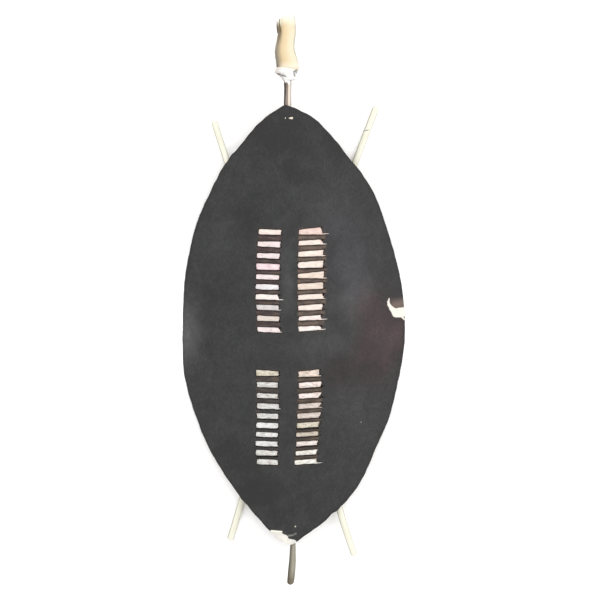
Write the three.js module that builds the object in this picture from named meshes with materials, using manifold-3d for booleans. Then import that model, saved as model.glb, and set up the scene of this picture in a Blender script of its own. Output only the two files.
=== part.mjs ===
// A pointed-oval hide shield lying on its back, face up.
// +Y runs towards the shield's top, +X to the right seen from the front, +Z out of the face.
// The origin is at the middle of the shield on the surface it lies on. Millimetres.
import * as THREE from 'three';
import { mergeVertices } from 'three/addons/utils/BufferGeometryUtils.js';
import Module from 'manifold-3d';

const wasm = await Module();
wasm.setup();

// Driving sizes of the hide
const hideLength = 875;
const hideWidth = 444;
const hideThickness = 3;
const hideTopY = 388;
const rimFlatDepth = 1;

// Driving sizes of the lacing
const stripThickness = 1.8;
const barsInBlock = 10;
const slitGap = 0.4;
const slitSlack = 2.6;
const tailLength = 16;
const stripFacets = 2;
const upperBarHeight = 11;
const lowerBarHeight = 10.2;
const leftColumnX = -48;
const rightColumnX = 33.4;
const lowerColumnShift = 4;
const leftStripWidth = 43.6;
const rightStripWidth = 44.6;
const leftOverrun = 2;
const rightOverrun = 8;

// Driving sizes of the sticks
const overallLength = 1136;
const stickHeadRadius = 7.9;
const stickMiddleRadius = 6.5;
const stickNeckRadius = 5.2;
const stickFootRadius = 7.4;
const stickSides = 14;
const braceRadius = 6.6;
const braceSides = 12;
const braceFlatDepth = 0.4;

// Driving sizes of the ties
const thongThickness = 1.5;
const thongWidth = 4.6;
const thongTurns = 8;
const tieInset = 26;
const tieHoleSpread = 4.6;
const tieHoleSlack = 0.35;
const topTieTab = 6;
const lashingWidth = 22;
const lashingFacets = 20;
const floorClearance = 0.6;

// Clearance left between pieces that touch
const seatGap = 0.3;

// Driving sizes of the sleeve on the stick's head
const tuftLength = 102;
const tuftRadius = 23;
const tuftWall = 3;
const tuftSides = 36;
const bindingLength = 38;
const bindingRadius = 20;
const bindingLip = 2.2;

const halfWidth = hideWidth / 2;
const headY = overallLength / 2;
const footY = -overallLength / 2;
const hideFootY = hideTopY - hideLength;

// Where the three sticks cross, behind the plain band between the lacing blocks
const crossing = new THREE.Vector2(-9.6, -105);
const lowerLacingY = THREE.MathUtils.lerp(crossing.y, hideFootY, 0.56);

// Room behind the hide for the thongs that go round the centre stick
const thongRoom = thongThickness + 3 * seatGap;

// The stack behind the ridge: thong, centre stick, two braces, thong, floor
const crossHeight = {
  right: floorClearance + thongThickness + seatGap + braceRadius,
};
crossHeight.left = crossHeight.right + 2 * braceRadius + seatGap;
crossHeight.stick = crossHeight.left + braceRadius + seatGap + stickMiddleRadius;
const ridgeHeight = crossHeight.stick + stickMiddleRadius + thongRoom;
const archDrop = ridgeHeight + rimFlatDepth;

// The hide is arched across its width like a gutter: height of its back above the floor
function backHeight(x) {
  return ridgeHeight - archDrop * (x / halfWidth) ** 2;
}

// Solids and plain geometry

// Shares the vertices of a geometry and drops the triangles that shrink to a line
function welded(geometry) {
  const bare = geometry.clone();
  bare.deleteAttribute('normal');
  bare.deleteAttribute('uv');
  const merged = mergeVertices(bare, 1e-4);
  const corners = [];
  for (let i = 0; i < merged.index.count; i += 3) {
    const [a, b, c] = [0, 1, 2].map((k) => merged.index.getX(i + k));
    if (a !== b && b !== c && c !== a) corners.push(a, b, c);
  }
  merged.setIndex(corners);
  return merged;
}

function solidOf(geometry) {
  const closed = welded(geometry);
  return new wasm.Manifold(new wasm.Mesh({
    numProp: 3,
    vertProperties: Float32Array.from(closed.attributes.position.array),
    triVerts: Uint32Array.from(closed.index.array),
  }));
}

function geometryOf(solid) {
  const mesh = solid.getMesh();
  const geometry = new THREE.BufferGeometry();
  geometry.setAttribute('position', new THREE.BufferAttribute(mesh.vertProperties, 3));
  geometry.setIndex(new THREE.BufferAttribute(mesh.triVerts, 1));
  geometry.computeVertexNormals();
  return geometry;
}

// Moves every point of a geometry by a rule, which changes the point in place
function reshape(geometry, rule) {
  const place = geometry.attributes.position;
  const point = new THREE.Vector3();
  for (let i = 0; i < place.count; i += 1) {
    point.fromBufferAttribute(place, i);
    rule(point);
    place.setXYZ(i, point.x, point.y, point.z);
  }
  geometry.computeVertexNormals();
  return geometry;
}

function extruded(shape, depth, steps = 1) {
  return new THREE.ExtrudeGeometry(shape, { depth, steps, bevelEnabled: false });
}

// Extrudes a section drawn in X and Z along Y
function alongY(shape, lowY, highY) {
  return extruded(shape, highY - lowY).rotateX(Math.PI / 2).translate(0, highY, 0);
}

// Extrudes a section drawn in Y and Z along X
function alongX(shape, lowX, highX, steps) {
  const turn = new THREE.Matrix4().set(0, 0, 1, lowX, 1, 0, 0, 0, 0, 1, 0, 0, 0, 0, 0, 1);
  return extruded(shape, highX - lowX, steps).applyMatrix4(turn);
}

// The outline of a ribbon of even thickness that follows a path of straight runs
function ribbon(path, thickness) {
  const sides = [[], []];
  path.forEach((point, i) => {
    const before = path[Math.max(i - 1, 0)];
    const after = path[Math.min(i + 1, path.length - 1)];
    const arriving = (i > 0 ? point.clone().sub(before) : after.clone().sub(point)).normalize();
    const leaving = (i < path.length - 1 ? after.clone().sub(point) : arriving.clone()).normalize();
    const mitre = new THREE.Vector2(-arriving.y - leaving.y, arriving.x + leaving.x);
    mitre.multiplyScalar(thickness / 2 / (1 + arriving.dot(leaving)));
    sides[0].push(point.clone().add(mitre));
    sides[1].push(point.clone().sub(mitre));
  });
  return new THREE.Shape([...sides[0], ...sides[1].reverse()]);
}

// A value read off a list of [place, value] stations, by straight lines between them
function along(stations, place) {
  const next = stations.findIndex((station) => place <= station[0]);
  if (next === 0) return stations[0][1];
  if (next < 0) return stations[stations.length - 1][1];
  const [lowPlace, low] = stations[next - 1];
  const [highPlace, high] = stations[next];
  return THREE.MathUtils.mapLinear(place, lowPlace, highPlace, low, high);
}

// A smooth curve through [place, value] stations, read by its place
function smoothAlong(stations) {
  const curve = new THREE.SplineCurve(stations.map(([place, value]) => new THREE.Vector2(place, value)));
  const fine = curve.getPoints(stations.length * 8).map((point) => [point.x, point.y]);
  return (place) => along(fine, place);
}

function named(name, geometry, color, roughness) {
  const mesh = new THREE.Mesh(geometry, new THREE.MeshStandardMaterial({ color, roughness, metalness: 0 }));
  mesh.name = name;
  return mesh;
}

// The hide's outline: share of its length from the top, then its left and right edge as
// shares of half its width
const outlineShares = [
  [0.014, -0.175, 0.08],
  [0.041, -0.325, 0.24],
  [0.096, -0.51, 0.432],
  [0.169, -0.701, 0.65],
  [0.279, -0.891, 0.83],
  [0.389, -0.979, 0.953],
  [0.498, -0.999, 1],
  [0.608, -0.988, 0.951],
  [0.718, -0.872, 0.844],
  [0.827, -0.661, 0.657],
  [0.919, -0.4, 0.404],
  [0.969, -0.198, 0.138],
];
const apexShare = -0.081;
const lowTipShare = -0.023;
const outlineFacets = 76;

function outlinePoint(share, side) {
  return new THREE.Vector2(side * halfWidth, hideTopY - share * hideLength);
}

function hideOutline() {
  const points = [
    outlinePoint(0, apexShare),
    ...outlineShares.map(([share, , right]) => outlinePoint(share, right)),
    outlinePoint(1, lowTipShare),
    ...outlineShares.map(([share, left]) => outlinePoint(share, left)).reverse(),
    outlinePoint(0, apexShare),
  ];
  return new THREE.SplineCurve(points).getPoints(outlineFacets).slice(0, -1);
}

// The four columns of lacing, each woven by one strip. firstY and lastY are the middles of
// the column's first and last bar. Bow and skew space the bars unevenly between them. Lean
// and sway shift the column sideways down its length, belly widens its middle, and rise
// lifts the right end of each bar. Overrun is how far the lower slit of a bar is cut too long.
const columns = [
  {
    name: 'lacing_upper_left', tint: 0xf6e8e4, firstY: 135.2, lastY: -59.3, bow: -2.2, skew: -2.6,
    centreX: leftColumnX, width: leftStripWidth, barHeight: upperBarHeight,
    lean: -2.2, sway: -3.9, belly: 1.5, rise: -1.6, overrun: leftOverrun,
  },
  {
    name: 'lacing_upper_right', tint: 0xf6eadc, firstY: 136.4, lastY: -56.5, bow: -1.8, skew: 0,
    centreX: rightColumnX, width: rightStripWidth, barHeight: upperBarHeight,
    lean: -1.1, sway: 0.9, belly: 5, rise: 2.6, overrun: rightOverrun,
  },
  {
    name: 'lacing_lower_left', tint: 0xe2e2de, firstY: -145.7, lastY: -322.5, bow: -6.4, skew: -1.4,
    centreX: leftColumnX - lowerColumnShift, width: leftStripWidth, barHeight: lowerBarHeight,
    lean: 0, sway: 0, belly: 0, rise: -1.4, overrun: leftOverrun,
  },
  {
    name: 'lacing_lower_right', tint: 0xe8dcd2, firstY: -146.4, lastY: -321.7, bow: -5.2, skew: -1.2,
    centreX: rightColumnX - lowerColumnShift, width: rightStripWidth, barHeight: lowerBarHeight,
    lean: -6.4, sway: 1.6, belly: 2, rise: 3, overrun: rightOverrun,
  },
];

function barCentres(column) {
  return Array.from({ length: barsInBlock }, (_, i) => {
    const share = i / (barsInBlock - 1);
    const even = THREE.MathUtils.lerp(column.firstY, column.lastY, share);
    return even + column.bow * 4 * share * (1 - share) + column.skew * Math.sin(2 * Math.PI * share);
  });
}

// The two slits of a bar, given as the middle of the strip where it passes through
function slitCentres(column, barY) {
  const reach = (column.barHeight - stripThickness) / 2;
  return [barY + reach, barY - reach];
}

// Slants a point drawn square with the column to its real place on the hide
function slant(column, point) {
  const down = THREE.MathUtils.clamp((point.y - column.firstY) / (column.lastY - column.firstY), 0, 1);
  const across = (point.x - column.centreX) / column.width;
  const swell = 4 * down * (1 - down);
  point.x += column.lean * (down - 0.5) + (column.sway + across * column.belly) * swell;
  point.y += column.rise * across;
  return point;
}

function slits(column) {
  const reach = stripThickness / 2 + slitGap;
  const lowX = column.centreX - column.width / 2 - slitSlack;
  const highX = column.centreX + column.width / 2 + slitSlack;
  return barCentres(column).flatMap((barY) => slitCentres(column, barY).map((y, low) => {
    const endX = highX + low * column.overrun;
    const corners = [[lowX, y - reach], [endX, y - reach], [endX, y + reach], [lowX, y + reach]];
    return new THREE.Shape(corners.map(([x, cornerY]) => slant(column, new THREE.Vector2(x, cornerY))));
  }));
}

function lacing(column) {
  const faceZ = hideThickness + slitGap + stripThickness / 2;
  const backZ = -slitGap - stripThickness / 2;
  const path = barCentres(column).flatMap((barY) => {
    const [high, low] = slitCentres(column, barY);
    return [[high, backZ], [high, faceZ], [low, faceZ], [low, backZ]];
  });
  path.unshift([path[0][0] + tailLength, backZ]);
  path.push([path[path.length - 1][0] - tailLength, backZ]);
  const section = ribbon(path.map(([y, z]) => new THREE.Vector2(y, z)), stripThickness);
  const lowX = column.centreX - column.width / 2;
  const strip = reshape(alongX(section, lowX, lowX + column.width, stripFacets), (point) => {
    slant(column, point);
    point.z += backHeight(point.x);
  });
  return named(column.name, strip, column.tint, 0.75);
}

// The bare foot of the stick that shows below the hide
const footLength = hideFootY - footY;

// The centre stick: how thick it is along its length, and how it wanders sideways
const stickRadiusAt = smoothAlong([
  [footY, stickFootRadius * 0.95],
  [footY + footLength * 0.3, stickFootRadius],
  [footY + footLength * 0.7, (stickFootRadius + stickNeckRadius) / 2],
  [hideFootY, stickNeckRadius],
  [lowerLacingY, (stickNeckRadius + stickMiddleRadius) / 2],
  [crossing.y, stickMiddleRadius],
  [hideTopY, stickHeadRadius],
  [headY, stickHeadRadius * 0.9],
]);
const stickX = smoothAlong([
  [footY, -6.2],
  [footY + footLength * 0.35, -3.4],
  [hideFootY, -1.6],
  [lowerLacingY, -5.6],
  [crossing.y, crossing.x],
  [hideTopY, -11.4],
  [headY - tuftLength, -11.6],
  [headY, -15],
]);

// Its upper side keeps just behind the hide, with room for the thongs
function stickZ(y) {
  return ridgeHeight - thongRoom - stickRadiusAt(y);
}

function followStick(point) {
  const y = THREE.MathUtils.clamp(point.y, footY, headY);
  point.x += stickX(y);
  point.z += stickZ(y);
}

// The profile of a round stick with softened ends, from its low end to its high end
function stickProfile(lowY, highY, radiusAt, rows, endFlat) {
  const lowRadius = radiusAt(lowY);
  const highRadius = radiusAt(highY);
  const points = [new THREE.Vector2(0, lowY), new THREE.Vector2(lowRadius * endFlat, lowY)];
  points.push(new THREE.Vector2(lowRadius * 0.85, lowY + lowRadius * 0.35));
  for (let i = 0; i <= rows; i += 1) {
    const y = THREE.MathUtils.lerp(lowY + lowRadius, highY - highRadius, i / rows);
    points.push(new THREE.Vector2(radiusAt(y), y));
  }
  points.push(new THREE.Vector2(highRadius * 0.85, highY - highRadius * 0.35));
  points.push(new THREE.Vector2(highRadius * endFlat, highY), new THREE.Vector2(0, highY));
  return points;
}

// The head of the stick ends inside the sleeve, under its closed top
const stickHeadY = headY - 5 * tuftWall;

function centreStick() {
  const profile = stickProfile(footY, stickHeadY, stickRadiusAt, 18, 0.55);
  return named('centre_stick', reshape(new THREE.LatheGeometry(profile, stickSides), followStick), 0x8d8478, 0.7);
}

// The braces: straight line ends, and how far the middle bows to the left
const braces = {
  left: { name: 'brace_stick_left', topX: -159.2, topY: 359.2, footX: 122, footY: -512, bow: 0 },
  right: { name: 'brace_stick_right', topX: 166, topY: 388, footX: -128, footY: -483, bow: 8.9 },
};

// Where a brace's middle line lies, from its foot at 0 to its top at 1
function bracePlan(brace, share) {
  const x = THREE.MathUtils.lerp(brace.footX, brace.topX, share);
  const y = THREE.MathUtils.lerp(brace.footY, brace.topY, share);
  return new THREE.Vector2(x - brace.bow * 4 * share * (1 - share), y);
}

function braceShare(brace, y) {
  return THREE.MathUtils.inverseLerp(brace.footY, brace.topY, y);
}

function insideHide(outline, x, y) {
  let inside = false;
  outline.forEach((a, i) => {
    const b = outline[(i + 1) % outline.length];
    if ((a.y > y) !== (b.y > y) && x < a.x + (b.x - a.x) * (y - a.y) / (b.y - a.y)) inside = !inside;
  });
  return inside;
}

// How much the left brace falls for each share of its length above the crossing, so that
// it just clears the back of the hide everywhere
function leftBraceFall(outline) {
  const brace = braces.left;
  const cross = braceShare(brace, crossing.y);
  let fall = 0;
  for (let share = cross + 0.1; share <= 1; share += 0.01) {
    const { x, y } = bracePlan(brace, share);
    if (!insideHide(outline, x + braceRadius, y)) break;
    const slope = Math.atan(2 * archDrop * x / halfWidth ** 2);
    const allowed = backHeight(x) - (braceRadius + seatGap) / Math.cos(slope) - seatGap;
    fall = Math.max(fall, (crossHeight.left - allowed) / (share - cross));
  }
  return fall;
}

function braceHeights(outline) {
  const leftCross = braceShare(braces.left, crossing.y);
  const rightCross = braceShare(braces.right, crossing.y);
  const fall = leftBraceFall(outline);
  const restHeight = braceRadius - braceFlatDepth;
  return {
    left: (share) => crossHeight.left - fall * (share - leftCross),
    right: (share) => {
      const reach = share > rightCross ? 1 - rightCross : rightCross;
      const away = Math.min(Math.abs(share - rightCross) / reach, 1);
      return THREE.MathUtils.lerp(crossHeight.right, restHeight, away ** 2);
    },
  };
}

function braceStick(brace, heightAt) {
  const top = bracePlan(brace, 1);
  const foot = bracePlan(brace, 0);
  const length = top.distanceTo(foot);
  const profile = stickProfile(0, length, () => braceRadius, 14, 0.4);
  const stick = reshape(new THREE.LatheGeometry(profile, braceSides), (point) => {
    const share = THREE.MathUtils.clamp(point.y / length, 0, 1);
    point.x -= brace.bow * 4 * share * (1 - share);
    point.z += heightAt(share);
  });
  const floor = new THREE.BoxGeometry(halfWidth, 3 * length, halfWidth).translate(0, 0, -halfWidth / 2);
  const mesh = named(brace.name, geometryOf(solidOf(stick).subtract(solidOf(floor))), 0xf4f0d8, 0.6);
  mesh.position.set(foot.x, foot.y, 0);
  mesh.rotation.z = Math.atan2(foot.x - top.x, top.y - foot.y);
  return mesh;
}

// The pale skin sleeve rolled round the head of the stick, closed at the top
const tuftFootY = headY - tuftLength;

// Its radius and how far it stands off to one side of the stick, by the share of its length
// from its hem, as shares of its widest radius
const tuftRows = [
  [0, 1, 0],
  [0.1, 0.99, -0.04],
  [0.22, 0.92, -0.16],
  [0.36, 0.83, -0.2],
  [0.5, 0.8, -0.1],
  [0.64, 0.81, 0.02],
  [0.8, 0.79, 0.02],
  [0.93, 0.78, -0.02],
  [0.985, 0.66, -0.02],
];

function tuft() {
  const bore = stickHeadRadius + seatGap;
  const boreTopY = stickHeadY + seatGap;
  const aside = smoothAlong(tuftRows.map(([share, , offset]) => [share, offset * tuftRadius]));
  const skin = tuftRows.map(([share, width]) => (
    new THREE.Vector2(tuftRadius * width, tuftFootY + share * tuftLength)
  ));
  const profile = [
    new THREE.Vector2(0, boreTopY),
    new THREE.Vector2(bore, boreTopY),
    new THREE.Vector2(bore, tuftFootY),
    ...skin,
    new THREE.Vector2(0, headY - tuftWall),
  ];
  const sleeve = reshape(new THREE.LatheGeometry(profile, tuftSides), (point) => {
    const angle = Math.atan2(point.x, point.z);
    if (Math.hypot(point.x, point.z) > bore + seatGap) {
      const folds = 1 + 0.04 * Math.sin(3 * angle + 0.6) + 0.02 * Math.sin(7 * angle + point.y / tuftRadius);
      point.x = point.x * folds + aside((point.y - tuftFootY) / tuftLength);
      point.z *= folds;
      const nearTop = THREE.MathUtils.smoothstep(point.y, headY - 4 * tuftWall, headY);
      point.y = Math.min(point.y + nearTop * tuftWall * Math.cos(2 * angle - 1.2), headY);
    }
    followStick(point);
  });
  return named('tuft', sleeve, 0xe9dcc0, 0.9);
}

// The white skin collar that gathers the sleeve down to the stick
function tuftBinding() {
  const topY = tuftFootY - seatGap;
  const rows = [
    [0, bindingLip],
    [0.1, bindingLip * 1.3],
    [0.35, bindingRadius * 0.3],
    [0.58, bindingRadius * 0.48],
    [0.8, bindingRadius * 0.58],
    [1, bindingRadius * 0.6],
  ];
  const profile = rows.map(([share, wall]) => {
    const y = topY - (1 - share) * bindingLength;
    return new THREE.Vector2(stickHeadRadius + seatGap + wall, y);
  });
  profile.push(new THREE.Vector2(stickHeadRadius + seatGap, topY));
  profile.unshift(new THREE.Vector2(stickHeadRadius + seatGap, topY - bindingLength));
  profile.push(profile[0].clone());
  const collar = reshape(new THREE.LatheGeometry(profile, 28), (point) => {
    const angle = Math.atan2(point.x, point.z);
    const out = Math.hypot(point.x, point.z);
    if (out > stickHeadRadius + bindingLip * 1.5) {
      const pleats = 1 + 0.06 * Math.sin(6 * angle);
      point.x *= pleats;
      point.z *= pleats;
    }
    followStick(point);
  });
  return named('tuft_binding', collar, 0xf3efe6, 0.85);
}

// Where a thong that goes round the centre stick runs: how far out from the stick's
// middle, and how high between the stick and the hide
function thongPlace(y) {
  const round = stickRadiusAt(y) + seatGap + thongThickness / 2;
  const outX = Math.abs(stickX(y)) + round + thongThickness / 2;
  return { round, under: backHeight(outX) - seatGap - thongThickness / 2 };
}

// A thong round the back of the centre stick and up to the hide, between two lists of
// [x, z] points that say how each end goes on
function stickThong(name, y, startPoints, endPoints) {
  const { round, under } = thongPlace(y);
  const turn = [];
  for (let i = 0; i <= thongTurns; i += 1) {
    const angle = Math.PI * (1 + i / thongTurns);
    turn.push([stickX(y) + round * Math.cos(angle), stickZ(y) + round * Math.sin(angle)]);
  }
  const corners = [[stickX(y) - round, under], ...turn, [stickX(y) + round, under]];
  const path = [...startPoints, ...corners, ...endPoints].map(([x, z]) => new THREE.Vector2(x, z));
  const section = ribbon(path, thongThickness);
  return named(name, alongY(section, y - thongWidth / 2, y + thongWidth / 2), 0xf2ece0, 0.8);
}

// Places of the small holes that the ties come through, on the hide's face
const topTieY = hideTopY - tieInset;
const topTieHoles = [stickX(topTieY) - tieHoleSpread, stickX(topTieY) + tieHoleSpread];
const lowTieY = hideFootY + 1.4 * tieInset;
const lowTieHole = stickX(lowTieY) + stickRadiusAt(lowTieY) + seatGap + thongThickness / 2;

function tieHole(x, y) {
  const reachX = thongThickness / 2 + tieHoleSlack;
  const reachY = thongWidth / 2 + tieHoleSlack;
  const corners = [[-1, -1], [1, -1], [1, 1], [-1, 1]];
  return new THREE.Shape(corners.map(([sx, sy]) => new THREE.Vector2(x + sx * reachX, y + sy * reachY)));
}

function topTie() {
  const { under } = thongPlace(topTieY);
  const face = ridgeHeight + hideThickness + seatGap;
  const proud = face + thongThickness / 2;
  const [left, right] = topTieHoles;
  const start = [[left, face], [left, under]];
  const end = [[right, under], [right, proud], [right + topTieTab, proud]];
  return stickThong('top_tie', topTieY, start, end);
}

function lowTie() {
  const { under } = thongPlace(lowTieY);
  const face = ridgeHeight + hideThickness + seatGap;
  const start = [[stickX(lowTieY) + 1, under]];
  const end = [[lowTieHole, under], [lowTieHole, face]];
  return stickThong('low_tie', lowTieY, start, end);
}

// The thong bound round all three sticks where they cross
function crossLashing() {
  const { topX, topY, footX: lowX, footY: lowY } = braces.right;
  const braceSlant = Math.atan2(topX - lowX, topY - lowY);
  const reach = (braceRadius + lashingWidth / 2 * Math.sin(braceSlant)) / Math.cos(braceSlant) + seatGap;
  const low = crossHeight.right - braceRadius - seatGap;
  const high = crossHeight.stick + stickMiddleRadius + seatGap;
  const loop = (grow) => Array.from({ length: lashingFacets }, (_, i) => {
    const angle = 2 * Math.PI * (i + 0.5) / lashingFacets;
    const side = Math.sign(Math.cos(angle)) * Math.abs(Math.cos(angle)) ** 0.6;
    const up = Math.sign(Math.sin(angle)) * Math.abs(Math.sin(angle)) ** 0.3;
    const height = (low + high) / 2 + up * ((high - low) / 2 + grow);
    return new THREE.Vector2(crossing.x + side * (reach + grow), height);
  });
  const section = new THREE.Shape(loop(thongThickness));
  section.holes.push(new THREE.Path(loop(0)));
  const band = alongY(section, crossing.y - lashingWidth / 2, crossing.y + lashingWidth / 2);
  return named('cross_lashing', band, 0xcbb894, 0.8);
}

// The hide: an arched sheet trimmed to the outline, with every slit and tie hole cut through
const archFacets = 24;

function hide(outline) {
  const floorX = halfWidth * Math.sqrt(ridgeHeight / archDrop);
  const outX = halfWidth + hideThickness;
  const face = [];
  const back = [];
  for (let i = 0; i <= archFacets; i += 1) {
    const x = THREE.MathUtils.lerp(-floorX, floorX, i / archFacets);
    face.push(new THREE.Vector2(x, backHeight(x) + hideThickness));
    back.push(new THREE.Vector2(x, Math.max(backHeight(x), 0)));
  }
  face.unshift(new THREE.Vector2(-outX, backHeight(outX) + hideThickness));
  face.push(new THREE.Vector2(outX, backHeight(outX) + hideThickness));
  back.unshift(new THREE.Vector2(-outX, 0));
  back.push(new THREE.Vector2(outX, 0));
  const sheet = alongY(new THREE.Shape([...back, ...face.reverse()]), hideFootY - 20, hideTopY + 20);
  const column = (shape) => solidOf(extruded(shape, 2 * ridgeHeight).translate(0, 0, -ridgeHeight / 2));
  const openings = [
    ...columns.flatMap(slits),
    ...topTieHoles.map((x) => tieHole(x, topTieY)),
    tieHole(lowTieHole, lowTieY),
  ];
  const whole = solidOf(sheet).intersect(column(new THREE.Shape(outline)));
  const cut = openings.reduce((solid, opening) => solid.subtract(column(opening)), whole);
  return named('hide', geometryOf(cut), 0x46444a, 0.6);
}

const outline = hideOutline();
const heights = braceHeights(outline);
const group = new THREE.Group();
group.add(hide(outline));
columns.forEach((column) => group.add(lacing(column)));
group.add(centreStick());
group.add(braceStick(braces.left, heights.left));
group.add(braceStick(braces.right, heights.right));
group.add(tuft(), tuftBinding(), topTie(), lowTie(), crossLashing());

export default group;
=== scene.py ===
"""A pointed-oval hide shield lying on its back, seen from straight above.

Lengths are in metres, in the shield's own frame: +Y towards its top, +X to the right seen
from the front, +Z out of its face. Drawings of sections and outlines are in millimetres.
"""
import math
from collections import namedtuple

import bmesh
import bpy
import numpy as np
from mathutils.geometry import delaunay_2d_cdt
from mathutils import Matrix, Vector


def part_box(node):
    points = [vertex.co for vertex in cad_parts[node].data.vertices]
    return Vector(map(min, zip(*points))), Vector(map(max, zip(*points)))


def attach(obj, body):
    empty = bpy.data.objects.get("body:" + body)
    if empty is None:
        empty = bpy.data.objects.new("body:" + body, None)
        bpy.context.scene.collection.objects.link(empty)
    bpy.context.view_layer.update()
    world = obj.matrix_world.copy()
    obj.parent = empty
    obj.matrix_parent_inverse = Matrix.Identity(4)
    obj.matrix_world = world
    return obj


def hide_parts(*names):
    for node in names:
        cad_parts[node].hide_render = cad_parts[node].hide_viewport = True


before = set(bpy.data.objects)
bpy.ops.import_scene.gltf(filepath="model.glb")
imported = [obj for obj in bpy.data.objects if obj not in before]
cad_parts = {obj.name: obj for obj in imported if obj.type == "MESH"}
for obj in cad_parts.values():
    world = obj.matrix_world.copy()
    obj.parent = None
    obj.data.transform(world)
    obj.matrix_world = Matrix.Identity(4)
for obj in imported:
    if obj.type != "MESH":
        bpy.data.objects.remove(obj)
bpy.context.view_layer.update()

MM = 0.001

# Sizes shared with the construction, in millimetres
HIDE_THICKNESS = 3.0
STRIP_THICKNESS = 1.8
SLIT_GAP = 0.4
TAIL_LENGTH = 16.0
BARS = 10
RIM_FLAT = 1.0
HALF_WIDTH = 222.0
SEAT_GAP = 0.3
THONG_ROOM = 2.4
HALF_THONG = 0.75
BRACE_RADIUS = 6.6

# Sizes of the finished thongs, in millimetres
THONG_THICKNESS = 1.4
TIE_WIDTH = 3.0
LASHING_WIDTH = 4.0

# Heights up the shield, in millimetres from the frame's middle
STICK_FOOT = -568
STICK_HEAD = 552
CROSSING = -105
TOP_TIE = 362
LOW_TIE = -450.6

hide_low, hide_high = (np.array(corner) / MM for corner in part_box("hide"))
RIDGE = hide_high[2] - HIDE_THICKNESS
ARCH_DROP = RIDGE + RIM_FLAT


def back_height(x):
    """Height of the back of the arched hide above the floor, in millimetres."""
    return RIDGE - ARCH_DROP * (np.asarray(x) / HALF_WIDTH) ** 2


# Small tools for numbers

def smooth_step(low, high, value):
    """0 at low, 1 at high, and soft between; low may be the larger."""
    share = np.clip((np.asarray(value, float) - low) / (high - low), 0, 1)
    return share * share * (3 - 2 * share)


def ripple(points, size, seed, waves=18):
    """A soft random wave over points, about -1 to 1, with humps of the given size."""
    points = np.atleast_2d(np.asarray(points, float))
    chance = np.random.default_rng(seed)
    ways = chance.normal(size=(waves, points.shape[1]))
    ways /= np.linalg.norm(ways, axis=1, keepdims=True)
    ways *= 2 * math.pi / size * chance.uniform(0.5, 1.3, (waves, 1))
    phases = chance.uniform(0, 2 * math.pi, waves)
    return np.sin(points @ ways.T + phases).sum(1) / math.sqrt(waves / 2) / 1.6


def circle(count):
    """Angles of evenly spaced places once round."""
    return np.linspace(0, 2 * math.pi, count, endpoint=False)


def ripple_along(places, size, seed):
    """A soft random wave over places on a line."""
    return ripple(np.c_[places, np.zeros(len(places))], size, seed)


def smooth_curve(stations, places):
    """Reads a smooth curve through rows of [place, value, ...] at the given places."""
    rows = np.array(sorted(stations, key=lambda row: row[0]), float)
    x, y = rows[:, 0], rows[:, 1:]
    slopes = np.gradient(y, x, axis=0) if len(x) > 2 else np.diff(y, axis=0) / np.diff(x)
    if len(x) == 2:
        slopes = np.repeat(slopes, 2, axis=0)
    places = np.clip(np.asarray(places, float), x[0], x[-1])
    i = np.clip(np.searchsorted(x, places, "right") - 1, 0, len(x) - 2)
    span = (x[i + 1] - x[i])[..., None]
    t = ((places - x[i]) / span[..., 0])[..., None]
    low, high = y[i], y[i + 1]
    bend_low, bend_high = slopes[i] * span, slopes[i + 1] * span
    value = ((2 * t ** 3 - 3 * t ** 2 + 1) * low + (t ** 3 - 2 * t ** 2 + t) * bend_low
             + (3 * t ** 2 - 2 * t ** 3) * high + (t ** 3 - t ** 2) * bend_high)
    return value[..., 0] if value.shape[-1] == 1 else value


# Finishes

# How much brighter than its own tone the studio light shows a surface that faces up
STUDIO_GAIN = 1.3


def linear(red, green, blue):
    """A colour as it shows under the studio light, 0 to 255, as the shader's own numbers."""
    shares = [value / 255 for value in (red, green, blue)]
    shares = [s / 12.92 if s <= 0.04045 else ((s + 0.055) / 1.055) ** 2.4 for s in shares]
    return tuple(s / STUDIO_GAIN for s in shares)


class Wire:
    """A number, colour or vector inside a finish. Sums on a number add its Math nodes."""

    def __init__(self, finish, socket):
        self.finish = finish
        self.socket = socket

    def _math(self, operation, first, second=None):
        values = {0: first} if second is None else {0: first, 1: second}
        return self.finish.node("ShaderNodeMath", {"operation": operation}, values)

    def __add__(self, other):
        return self._math("ADD", self, other)

    def __sub__(self, other):
        return self._math("SUBTRACT", self, other)

    def __rsub__(self, other):
        return self._math("SUBTRACT", other, self)

    def __mul__(self, other):
        return self._math("MULTIPLY", self, other)

    def __truediv__(self, other):
        return self._math("DIVIDE", self, other)

    def __abs__(self):
        return self._math("ABSOLUTE", self)

    def root(self):
        return self._math("SQRT", self)

    def least(self, other):
        return self._math("MINIMUM", self, other)

    def most(self, other):
        return self._math("MAXIMUM", self, other)

    __radd__ = __add__


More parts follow.
